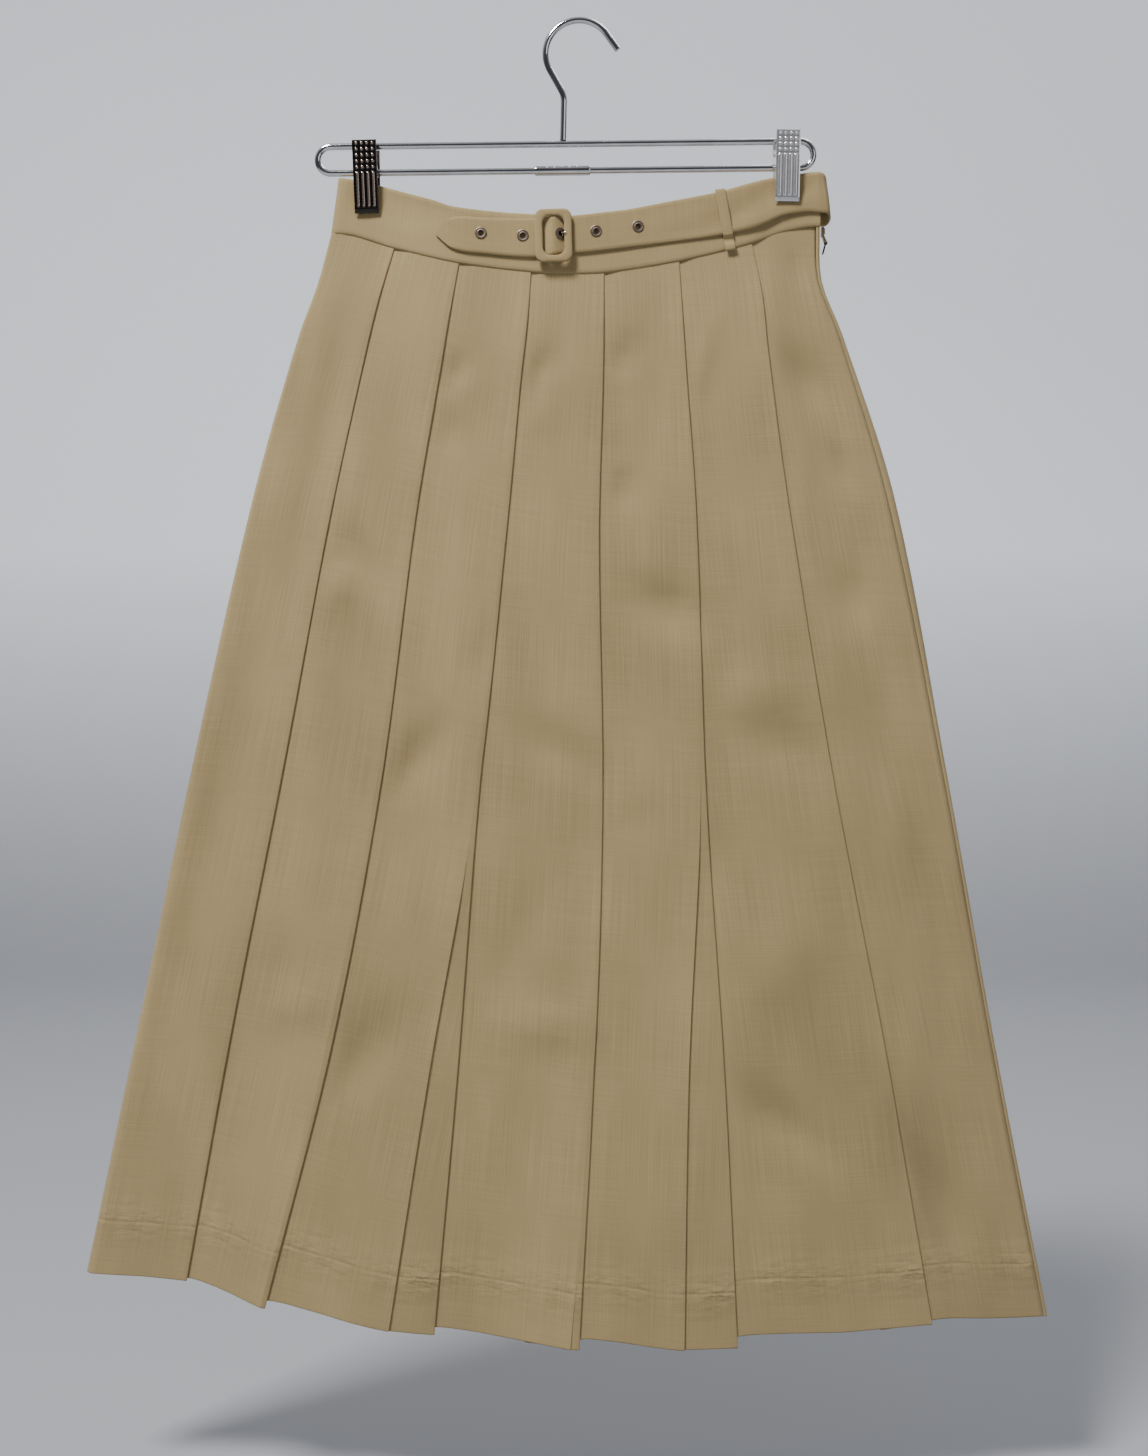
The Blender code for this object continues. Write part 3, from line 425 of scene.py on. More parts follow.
def turned(profile: Sequence[Pair], steps: int) -> Form:
    """Turn a closed profile about Z.

    Args:
        profile: radius and height of its points, in order.
        steps: how many steps the turn takes.

    Returns:
        The mesh.
    """
    form = bmesh.new()
    verts = [form.verts.new((radius, 0, height)) for radius, height in profile]
    edges = [form.edges.new(ends) for ends in zip(verts, verts[1:] + verts[:1])]
    bmesh.ops.spin(form, geom=verts + edges, axis=UP, cent=(0, 0, 0), angle=math.tau, steps=steps,
                   use_merge=True, use_duplicate=False)
    bmesh.ops.remove_doubles(form, verts=form.verts[:], dist=0.0001)
    bmesh.ops.recalc_face_normals(form, faces=form.faces[:])
    return form


def tube(points: Row, radius: float | Callable[[float], float], sides: int, closed: bool = False) -> Form:
    """Sweep a circle along a list of points.

    Args:
        points: the middle line.
        radius: the tube's radius, or a function of the share of the way along.
        sides: corners of the circle.
        closed: the line is a loop.

    Returns:
        The mesh.
    """
    count = len(points)
    sections, side = [], None
    for i, point in enumerate(points):
        before = points[i - 1] if i or closed else point
        after = points[(i + 1) % count] if i < count - 1 or closed else point
        ahead = (after - before).normalized()
        side = side or ahead.orthogonal().normalized()
        side = (side - ahead * side.dot(ahead)).normalized()
        other = ahead.cross(side)
        r = radius(i / (count - 1)) if callable(radius) else radius
        sections.append([point + (side * math.cos(a) + other * math.sin(a)) * r for a in circle(sides)])
    return loft(sections, ring=True, hoop=closed, caps=not closed)


def meshed(name: str, form: Form) -> bpy.types.Mesh:
    """Turn a form into mesh data and free it.

    Args:
        name: the mesh's name.
        form: the form.

    Returns:
        The mesh.
    """
    mesh = bpy.data.meshes.new(name)
    form.to_mesh(mesh)
    form.free()
    return mesh


def linked(name: str, data: bpy.types.ID) -> Piece:
    """Put a new object into the scene.

    Args:
        name: its name.
        data: its mesh, light or camera.

    Returns:
        The object.
    """
    made = bpy.data.objects.new(name, data)
    bpy.context.scene.collection.objects.link(made)
    return made


def join_in(form: Form, other: Form) -> None:
    """Add one form to another and free it.

    Args:
        form: the form that grows.
        other: the form that goes into it.
    """
    passing = meshed("passing", other)
    form.from_mesh(passing)
    bpy.data.meshes.remove(passing)


def put(form: Form, matrix: Matrix) -> Form:
    """Move a form by a matrix and return it."""
    bmesh.ops.transform(form, matrix=matrix, verts=form.verts[:])
    return form


def facing(centre: Vector, out: Vector) -> Matrix:
    """Return the matrix that takes the origin to a place and +Z to a direction."""
    return Matrix.Translation(centre) @ UP.rotation_difference(out).to_matrix().to_4x4()


def add_piece(name: str, form: Form, material: Material, slot: str, nodes: Sequence[str] = (),
              body: str = BODY, wall: float = 0.0, sharp: float = 50.0) -> Piece:
    """Make a piece from a form in millimetres and tie it to the frame.

    Args:
        name: the piece's name.
        form: its form, which is freed.
        material: its finish.
        slot: the record's material slot; not used.
        nodes: the solids it stands for.
        body: the body it rides on.
        wall: thickness given to an open sheet, about its middle.
        sharp: edges over this angle, in degrees, stay sharp.

    Returns:
        The object.
    """
    bmesh.ops.scale(form, vec=(MM, MM, MM), verts=form.verts[:])
    mesh = meshed(name, form)
    mesh.materials.append(material)
    mesh.shade_smooth()
    mesh.set_sharp_from_angle(angle=math.radians(sharp))
    piece = linked(name, mesh)
    if wall:
        skin = piece.modifiers.new("wall", "SOLIDIFY")
        skin.thickness = wall * MM
        skin.offset = 0.0
    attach(piece, body)
    if nodes:
        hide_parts(*nodes)
    LOG.info("%s: %d faces", name, len(mesh.polygons))
    return piece


# Skirt

@dataclass(frozen=True)
class Fold:
    """One pressed fold. x to roll have seven measures each, from the waist seam to the hem.

    x is the place of the crease, stand how far it stands out, tuck the way from its edge to the valley
    behind it, and roll the strip beyond it that has turned to the outside. under is how far the next
    gore stands out at the solid's hem, and swell how late the face rises to the crease.
    """

    x: Numbers
    stand: Numbers
    tuck: Numbers
    roll: Numbers
    under: float
    swell: float


@dataclass(frozen=True)
class Turn:
    """One side of the skirt: x of the outline, length and half depth of the turn to the back."""

    x: Numbers
    length: Numbers
    half_depth: Numbers


@dataclass(frozen=True)
class Crease:
    """A soft trough in the cloth of one face, or a ridge where the depth is below zero.

    gore is the panel that it marks, counted from 1, or 0 on the waistband and the belt.
    """

    x: float
    z: float
    angle: float
    length: float
    width: float
    depth: float
    gore: int = 0

    def at(self, x: float, z: float) -> float:
        """Work out how far the cloth sinks at a place.

        Args:
            x: the place across.
            z: its height.

        Returns:
            The depth there.
        """
        turn = math.radians(self.angle)
        dx, dz = x - self.x, z - self.z
        along = (dx * math.cos(turn) + dz * math.sin(turn)) / self.length
        over = (dz * math.cos(turn) - dx * math.sin(turn)) / self.width
        return self.depth * math.exp(-along * along - over * over)


FLAT = (0,) * 7


@dataclass
class PleatedSkirt:
    """Fourteen pleated gores from the waist seam to the hem.

    levels are the shares of the length that a fold's measures stand at. A layer is the distance between
    two layers of a pleat, and a step how far a fold stands over the next gore.
    """

    wall: float = 0.6
    levels: Numbers = (0.0, 0.05, 0.1, 0.25, 0.5, 0.75, 1.0)
    rows: int = 72
    crowding: float = 0.12
    seam_rows: Numbers = (0.001,)
    hem_rows: Numbers = (0.9965, 0.999)
    face_points: int = 15
    zip_face_points: int = 24
    join_points: float = 4.0
    zip_edge_points: float = 9.0
    tuck_shares: Numbers = (0.06, 0.25, 0.5, 0.75, 0.95, 1.0)
    return_shares: Numbers = (0.12, 0.35, 0.65, 1.0)
    crease_inset: float = 3.0
    crease_guard: float = 1.2
    crease_round: float = 0.35
    crease_rise: float = 0.8
    strip_share: float = 0.6
    nose_start: float = 0.3
    return_open: float = 0.65
    hook: float = 1.2
    seam: float = 0.3
    lean: float = 0.05
    layer_waist: float = 2.0
    layer_hem: float = 3.0
    nose: float = 0.8
    pressed_layer: float = 0.9
    pressed_until: float = 0.75
    step_waist: float = 1.5
    step_hem: float = 1.9
    shelf: float = 1.7
    seen_slope: float = 0.35
    seam_depth: Table = ((-173, -141, -128, -108, -84, -34, 17, 70, 100, 121, 135, 169),
                         (1.5, 1.7, 3.5, 5.8, 7.6, 9.0, 9.2, 8.8, 6.8, 4.2, 1.8, 1.5))
    seam_lift: float = 0.6
    seam_fade: float = 0.06
    crease_fade: float = 0.05
    crease_gain: float = 2.7
    uneven: float = 1.1
    uneven_cell: Pair = (24, 110)
    front: tuple[Fold, ...] = (
        Fold((-129.2, -139.8, -148.5, -172.0, -205.1, -240.3, -272.5), (5.2, 6.0, 6.5, 7.5, 9, 10.5, 12),
             (9, 10, 11, 14, 20, 26, 32), FLAT, 5, 1.2),
        Fold((-83.6, -90.1, -95.9, -113.7, -136.9, -169.9, -214.9), (8.2, 10, 11, 13, 16, 22, 30),
             (12, 12, 13, 16, 22, 28, 36), FLAT, 12, 1.5),
        Fold((-33.5, -36.2, -40.4, -50.6, -70.4, -101.8, -130.2), (9.6, 11.5, 12.5, 15, 20, 27, 34),
             (12, 12, 13, 16, 22, 30, 38), (0, 0, 0, 0, 1, 18.5, 31), 14, 1.5),
        Fold((17.2, 16.9, 16.4, 13.6, 15.9, 9.7, -6.3), (9.8, 12, 13, 16, 20, 30, 42),
             (12, 12, 13, 16, 22, 29, 38), (0, 0, 0, 0, 0, 0, 6), 19, 2.0),
        Fold((69.3, 71.6, 73.9, 81.2, 83.4, 74.5, 70.8), (9.4, 11.5, 12.5, 15, 20, 31, 40),
             (12, 12, 13, 14, 14, 18, 28), (0, 0, 0, 0, 4, 24.5, 36.5), 12, 6.0),
        Fold((120.3, 127.4, 131.1, 145.8, 175.9, 211.1, 242.4), (6.2, 8, 9, 11, 14, 18, 22),
             (12, 12, 13, 16, 22, 29, 36), FLAT, 13, 1.5),
    )
    left: Turn = Turn((-173.1, -182.9, -196.2, -227.0, -268.3, -306.1, -343.9),
                      (1.6, 2.2, 3, 4, 5, 6, 7), (1.6, 2.2, 3, 4, 5, 6, 7))
    right: Turn = Turn((168.0, 169.4, 184.1, 220.5, 256.5, 290.1, 326.9),
                       (2.4, 2.4, 3.0, 5.5, 3.0, 2.6, 2.6), (1.6, 2, 3, 4, 4, 4, 4))
    right_flat: float = 1.0
    back_waist: tuple[Pair, ...] = (
        (-122, 6.2), (-76, 8.6), (-30, 9.6), (16, 9.6), (62, 8.8), (108, 7.0), (157, 5.6))
    back_hem: tuple[Triple, ...] = (
        (-232, 16, 7), (-136, 19, 9), (-40, 20, 9), (56, 20, 9), (150, 19, 9), (242, 17, 8), (326, 15, 7))
    back_flare: Numbers = (0, 0.03, 0.11, 0.318, 0.555, 0.772, 1)
    back_rise: Numbers = (0, 0.1, 0.16, 0.3, 0.5, 0.72, 1)
    back_tuck: Numbers = (11, 12, 13, 16, 22, 29, 36)
    back_last_tuck: Numbers = (8, 8, 9, 11, 14, 18, 22)
    back_swell: float = 1.2
    hem: Table = ((-344, -272, -215, -130, -6, 75, 160, 245, 327),
                  (-872.5, -876.5, -889.5, -904, -913.5, -914.5, -911.5, -903, -903.4))
    waist: Table = ((-173, -158, -139, -130, -84, -34, 0, 17, 43, 70, 98, 121, 141, 151, 160, 169),
                    (-147.1, -148.7, -154.7, -157.8, -169.3, -175.9, -177.3, -176.6, -173.1, -168.2, -161.4,
                     -154.4, -146.8, -144.4, -142.7, -142.3))
    front_creases: tuple[Crease, ...] = (
        Crease(-178, -293, 78, 109, 15, 1.3, 1), Crease(-250, -560, 76, 150, 20, 1.0, 1),
        Crease(-158, -370, -50, 30, 11, 1.7, 2), Crease(-169, -395, 10, 14, 10, -1.3, 2),
        Crease(-150, -440, -72, 40, 12, 0.8, 2), Crease(-197, -685, 5, 24, 12, -1.2, 2),
        Crease(-86, -246, 35, 15, 8, 1.1, 3), Crease(-91, -288, -40, 17, 6, 0.9, 3),
        Crease(-95, -262, 10, 16, 8, -0.8, 3), Crease(-112, -514, 50, 26, 12, 1.9, 3),
        Crease(-148, -719, 52, 38, 17, 1.8, 3), Crease(-72, -450, 60, 30, 12, 0.6, 3),
        Crease(-29, -246, 40, 17, 8, 1.2, 4), Crease(-34, -280, 10, 14, 8, -0.8, 4),
        Crease(-11, -511, -35, 28, 13, 1.7, 4), Crease(-22, -696, 0, 26, 12, -1.6, 4),
        Crease(-40, -640, 65, 50, 14, 0.8, 4), Crease(30, -236, 35, 16, 8, 1.0, 5),
        Crease(22, -273, 30, 10, 5, 0.9, 5), Crease(22, -296, 25, 9, 5, 0.8, 5),
        Crease(28, -330, 30, 13, 8, 1.0, 5), Crease(60, -410, -25, 28, 15, 2.2, 5),
        Crease(35, -560, 5, 24, 12, 0.6, 5), Crease(83, -244, 75, 28, 6, -0.8, 6),
        Crease(124, -469, 10, 24, 12, -1.1, 6), Crease(140, -506, -10, 26, 13, 1.2, 6),
        Crease(142, -766, -38, 36, 12, 2.0, 6), Crease(142, -655, 60, 30, 20, -0.9, 6),
        Crease(160, -251, -60, 24, 13, 2.0, 7), Crease(184, -313, -60, 14, 8, 1.1, 7),
        Crease(190, -402, -60, 18, 12, 1.1, 7), Crease(256, -828, -65, 50, 14, 2.0, 7),
        Crease(152, -172, -55, 12, 8, 0.9, 7), Crease(235, -560, -72, 90, 14, 0.9, 7),
    )
    back_creases: tuple[Crease, ...] = (
        Crease(150, -260, 60, 26, 12, 1.5, 1), Crease(128, -470, 40, 34, 14, 1.4, 1),
        Crease(180, -640, 58, 44, 15, 1.2, 2), Crease(60, -250, 38, 20, 9, 1.0, 3),
        Crease(88, -540, 44, 34, 14, 1.4, 3), Crease(10, -400, -40, 26, 12, 1.0, 4),
        Crease(8, -700, 20, 30, 13, -1.2, 4), Crease(-48, -300, -42, 24, 10, 1.1, 5),
        Crease(-78, -610, -48, 40, 14, 1.6, 5), Crease(-120, -430, -52, 30, 12, 1.2, 6),
        Crease(-178, -760, -55, 44, 15, 1.6, 6), Crease(-190, -360, -62, 34, 12, 1.3, 7),
        Crease(-262, -640, -64, 52, 15, 1.4, 7),
    )
    cloth: ClothFinish = SKIRT_CLOTH
    back: tuple[Fold, ...] = field(init=False)

    def __post_init__(self) -> None:
        """Work out the folds of the back."""
        self.back = tuple(self.back_fold(k) for k in range(len(self.back_waist)))

    def back_fold(self, k: int) -> Fold:
        """Work out one fold of the back, seen in the mirror.

        Args:
            k: its number, from 0 at the zip side.

        Returns:
            The fold.
        """
        (waist_x, waist_stand), (hem_x, hem_stand, gain) = self.back_waist[k], self.back_hem[k]
        x = tuple(mix(waist_x, hem_x, flare) for flare in self.back_flare)
        stand = tuple(mix(waist_stand, hem_stand, rise) for rise in self.back_rise)
        tuck = self.back_last_tuck if k == len(self.back_waist) - 1 else self.back_tuck
        return Fold(x, stand, tuck, FLAT, hem_stand - gain - self.seam / 2, self.back_swell)

    def measure(self, owner: Fold | Turn, name: str, t: float) -> float:
        """Return one measure of a fold or turn at share t of the length."""
        return curve(self.levels, getattr(owner, name), t)

    def layer(self, t: float) -> float:
        """Return the distance between two layers of a pleat, which is pressed flat at the waist."""
        loose = mix(self.layer_waist, self.layer_hem, t)
        return mix(self.pressed_layer, loose, ease(0.0, self.pressed_until, t))

    def step(self, t: float) -> float:
        """Return how far a fold stands over the next gore."""
        return mix(self.step_waist, self.step_hem, ease(0.1, 1.0, t))

    def places(self, fold: Fold, t: float) -> Pair:
        """Find a fold's crease and its edge, which lies beyond the crease where the fold rolls open.

        Args:
            fold: the fold.
            t: share of the way from waist to hem.

        Returns:
            Their x.
        """
        roll = max(self.measure(fold, "roll", t), 0.0)
        edge = self.measure(fold, "x", t) + roll
        return edge - max(roll, self.crease_inset), edge

    def shelf_drop(self, fold: Fold, t: float) -> float:
        """Return how far the strip beyond a fold's crease lies under it, where the fold rolls open."""
        crease, edge = self.places(fold, t)
        return self.shelf * ease(self.crease_inset, 3 * self.crease_inset, edge - crease)

    def under(self, fold: Fold, t: float) -> float:
        """Work out how far the next gore stands out where it leaves a fold.

        Args:
            fold: the fold.
            t: share of the way from waist to hem.

        Returns:
            The depth.
        """
        crease, edge = self.places(fold, t)
        beyond = self.shelf_drop(fold, t) + self.lean * (edge - crease)
        return self.measure(fold, "stand", t) - beyond - self.step(t)

    def folds(self, face: Face) -> tuple[Fold, ...]:
        """Return the folds of one face."""
        return self.front if face is Face.FRONT else self.back

    def forward(self, face: Face, k: int) -> float:
        """Work out how much further forward the hem of gore k starts than the solid's.

        Args:
            face: front or back.
            k: number of the gore, from 0.

        Returns:
            The distance.
        """
        if k == 0:
            return 0.0
        fold = self.folds(face)[k - 1]
        return self.under(fold, 1.0) - fold.under

    def start(self, face: Face, k: int, t: float) -> Pair:
        """Find where the seen face of gore k begins, in its own face's measure.

        Args:
            face: front or back.
            k: number of the gore, from 0.
            t: share of the way from waist to hem.

        Returns:
            Its x and depth.
        """
        if k > 0:
            before = self.folds(face)[k - 1]
            return self.places(before, t)[1], self.under(before, t)
        turn, sign, flat = (self.left, 1, 0.0) if face is Face.FRONT else (self.right, -1, self.right_flat)
        x = sign * self.measure(turn, "x", t) + self.measure(turn, "length", t) - flat
        return x, self.measure(turn, "half_depth", t)

    def surface(self, face: Face, k: int, t: float) -> Callable[[float], float]:
        """Make the depth of gore k's outside a function of x, in its own face's measure.

        Args:
            face: front or back.
            k: number of the gore, from 0.
            t: share of the way from waist to hem.

        Returns:
            The function.
        """
        start_x, start_depth = self.start(face, k, t)
        fold = self.folds(face)[k]
        crease = self.places(fold, t)[0]
        stand = self.measure(fold, "stand", t)
        drop = self.shelf_drop(fold, t)
        swell = 1.0 + (fold.swell - 1.0) * t * t

        def depth(x: float) -> float:
            """Work out the depth.

            Args:
                x: the place across.

            Returns:
                The depth there.
            """
            if x > crease:
                return stand - self.lean * (x - crease) - drop * ease(0.0, self.crease_round, x - crease)
            return mix(start_depth, stand, (max(x - start_x, 0.0) / (crease - start_x))**swell)

        return depth

    def tucked(self, face: Face, k: int, t: float) -> list[Pair]:
        """Draw the first points of a gore, from the valley behind fold k to that fold's edge.

        Args:
            face: front or back.
            k: number of the fold, from 0.
            t: share of the way from waist to hem.

        Returns:
            The points, in the face's own measure.
        """
        fold, gap, depth = self.folds(face)[k], self.layer(t), self.surface(face, k, t)
        edge = self.places(fold, t)[1]
        valley = edge - self.measure(fold, "tuck", t)
        top = depth(valley) - gap
        points = [(valley + self.hook, top), (valley + gap * 0.2, top - gap * 0.1), (valley, top - gap / 2),
                  (valley + gap * 0.2, top - gap * 0.9)]
        for s in self.tuck_shares:
            x = mix(valley, edge, s)
            points.append((x, depth(x) - mix(2 * gap, self.step(t), s)))
        return points

    def pleat(self, face: Face, k: int, t: float) -> list[Pair]:
        """Draw the seen face of a gore, its folded edge and the return to the valley.

        Args:
            face: front or back.
            k: number of the gore, from 0.
            t: share of the way from waist to hem.

        Returns:
            The points, in the face's own measure.
        """
        fold, gap, depth = self.folds(face)[k], self.layer(t), self.surface(face, k, t)
        start_x = self.start(face, k, t)[0]
        crease, edge = self.places(fold, t)
        radius = self.nose / 2
        guard = min(self.crease_guard, (edge - crease) / 3)
        across = [mix(start_x, crease, s) for s in fractions(self.face_points)[1:-1]]
        across += [crease - self.crease_rise, crease, crease + min(self.crease_round, guard), crease + guard,
                   mix(crease, edge, self.strip_share), edge - radius - self.nose_start]
        points = [(x, depth(x)) for x in across]
        points += arc((edge - radius, depth(edge) - radius), radius, map(math.radians, range(90, -91, -45)))
        end = edge - self.measure(fold, "tuck", t) + self.hook + self.seam
        for s in self.return_shares:
            x = mix(edge - radius, end, s)
            points.append((x, depth(x) - mix(self.nose, gap, ease(0.0, self.return_open, s))))
        return points

    def side_turn(self, turn: Turn, angles: Iterable[float], flat: float, t: float) -> list[Pair]:
        """Draw the turn round one side of the skirt.

        Args:
            turn: the side's measures.
            angles: the angle of each point, in degrees.
            flat: length at the end of the turn that stays out of it.
            t: share of the way from waist to hem.

        Returns:
            The plan points.
        """
        x = self.measure(turn, "x", t)
        sign = 1 if x > 0 else -1
        across = self.measure(turn, "length", t) - flat
        half = self.measure(turn, "half_depth", t)
        return [(x - sign * across + across * math.cos(a), -sign * half * math.sin(a))
                for a in map(math.radians, angles)]

    @staticmethod
    def plan(face: Face, points: Sequence[Pair]) -> list[Pair]:
        """Return points in a face's own measure as x and y."""
        return [(-face.value * x, face.value * depth) for x, depth in points]

    def section(self, face: Face, k: int, t: float) -> tuple[list[Pair], int]:
        """Draw one gore's section.

        Args:
            face: front or back.
            k: number of the gore, from 0.
            t: share of the way from waist to hem.

        Returns:
            The plan points, and how many of them lie behind the seen face.
        """
        side_x = self.measure(self.right, "x", t) - self.measure(self.right, "length", t)
        side_depth = self.measure(self.right, "half_depth", t)
        if k > 0:
            hidden = self.plan(face, self.tucked(face, k - 1, t))
        elif face is Face.FRONT:
            hidden = self.plan(Face.BACK, self.tucked(Face.BACK, len(self.back) - 1, t))
            hidden += self.side_turn(self.left, range(90, 271, 15), 0.0, t)
        else:
            hidden = [(side_x, -side_depth)]
            hidden += self.side_turn(self.right, range(90, -91, -15), self.right_flat, t)
        if k < len(self.folds(face)):
            return hidden + self.plan(face, self.pleat(face, k, t)), len(hidden)
        start_x, start_depth = self.start(face, k, t)
        seen = [(mix(start_x, side_x - self.seam, s), mix(start_depth, side_depth, s))
                for s in fractions(self.zip_face_points)[1:]]
        return hidden + self.plan(face, seen), len(hidden)

    def sunk(self, face: Face, k: int, x: float, z: float) -> float:
        """Work out how far a gore's creases and its faint unevenness sink the cloth.

        Args:
            face: front or back.
            k: number of the gore, from 0, or -1 for none.
            x: the place across.
            z: its height.

        Returns:
            The depth there.
        """
        if k < 0:
            return 0.0
        creases = self.front_creases if face is Face.FRONT else self.back_creases
        total = sum(c.at(x, z) for c in creases if c.gore == k + 1 and abs(z - c.z) < 3 * c.length)
        cell_x, cell_z = self.uneven_cell
        ripple = noise.noise(Vector((x / cell_x, face.value * 9 + k, z / cell_z)))
        return self.crease_gain * total + self.uneven * ripple

    def seam_shift(self, face: Face, k: int, x: float) -> float:
        """Return how far gore k moves outward at the waist seam to lie just under the band's edge."""
        own = x if face is Face.FRONT else -x
        return curve(*self.seam_depth, x) - self.surface(face, k, 0.0)(own)

    def seam_shifts(self, face: Face, k: int) -> list[float]:
        """Work out the outward move at the waist seam of each point across gore k.

        Args:
            face: front or back.
            k: number of the gore, from 0.

        Returns:
            The moves.
        """
        plan, hidden = self.section(face, k, 0.0)
        behind = [self.seam_shift(face, k - 1, x) + self.seam_lift * ease(0.5, 1.0, i / hidden) if k else 0.0
                  for i, (x, _) in enumerate(plan[:hidden])]
        if k == len(self.folds(face)):
            return behind + behind[-1:] * (len(plan) - hidden)
        return behind + [mix(behind[-1], self.seam_shift(face, k, x), ease(0.0, self.join_points, i))
                         for i, (x, _) in enumerate(plan[hidden:], start=1)]

    def hem_heights(self, face: Face, k: int) -> list[float]:
        """Work out the height of the hem at each point across gore k.

        The hem is lifted where the cloth stands further forward than the solid's, as the camera sees it
        lower there.

        Args:
            face: front or back.
            k: number of the gore, from 0.

        Returns:
            The heights.
        """
        ends, hidden = self.section(face, k, 1.0)
        heights = []
        for i, (x, _) in enumerate(ends):
            share = i / hidden if i < hidden else 1 - ease(0.0, 1.0, (i - hidden) / self.face_points)
            heights.append(curve(*self.hem, x) + self.seen_slope * self.forward(face, k) * share)
        return heights

    def level_shares(self) -> list[float]:
        """Return the shares of the length where rows lie, closer near the seam and the hem."""
        shares = [s - self.crowding * math.sin(math.tau * s) / math.tau for s in fractions(self.rows - 1)]
        return [shares[0], *self.seam_rows, *shares[1:-1], *self.hem_rows, shares[-1]]

    def gore(self, face: Face, k: int, cloth: Material) -> None:
        """Build one gore.

        Args:
            face: front or back.
            k: number of the gore, from 0.
            cloth: its material.
        """
        tops = [curve(*self.waist, x) for x, _ in self.section(face, k, 0.0)[0]]
        bottoms = self.hem_heights(face, k)
        shifts = self.seam_shifts(face, k)
        rows, uvs, widths = [], [], []
        for t in self.level_shares():
            plan, hidden = self.section(face, k, t)
            row = []
            for i, ((x, y), top, bottom, shift) in enumerate(zip(plan, tops, bottoms, shifts)):
                z = mix(top, bottom, t)
                own = ease(0.0, self.join_points, i - hidden + 1)
                sunk = mix(self.sunk(face, k - 1, x, z), self.sunk(face, k, x, z), own)
                sunk *= ease(0.0, self.crease_fade, t)
                if k == len(self.front):
                    sunk *= ease(0.0, self.zip_edge_points, len(plan) - 1 - i)
                outward = shift * (1 - ease(0.0, self.seam_fade, t))
                row.append(Vector((x, y - face.value * (sunk - outward), z)))
            run = runs([point.xy for point in row])
            middle = run[min(hidden + self.face_points // 2, len(run) - 1)]
            rows.append(row)
            widths.append(run[-1])
            uvs.append([((r - middle) * MM, (1 - t) * (top - bottom) * MM)
                        for r, top, bottom in zip(run, tops, bottoms)])
        name = f"{face.name.lower()}_panel_{k + 1}"
        piece = add_piece(f"{name}_cloth", loft(rows, uvs=uvs), cloth, "skirt_cloth", (name,), wall=self.wall)

    def build(self) -> None:
        """Build all the gores."""
        cloth = self.cloth.material()
        for face, count in ((Face.FRONT, len(self.front) + 1), (Face.BACK, len(self.back))):
            for k in range(count):
                self.gore(face, k, cloth)


# Waistband and belt

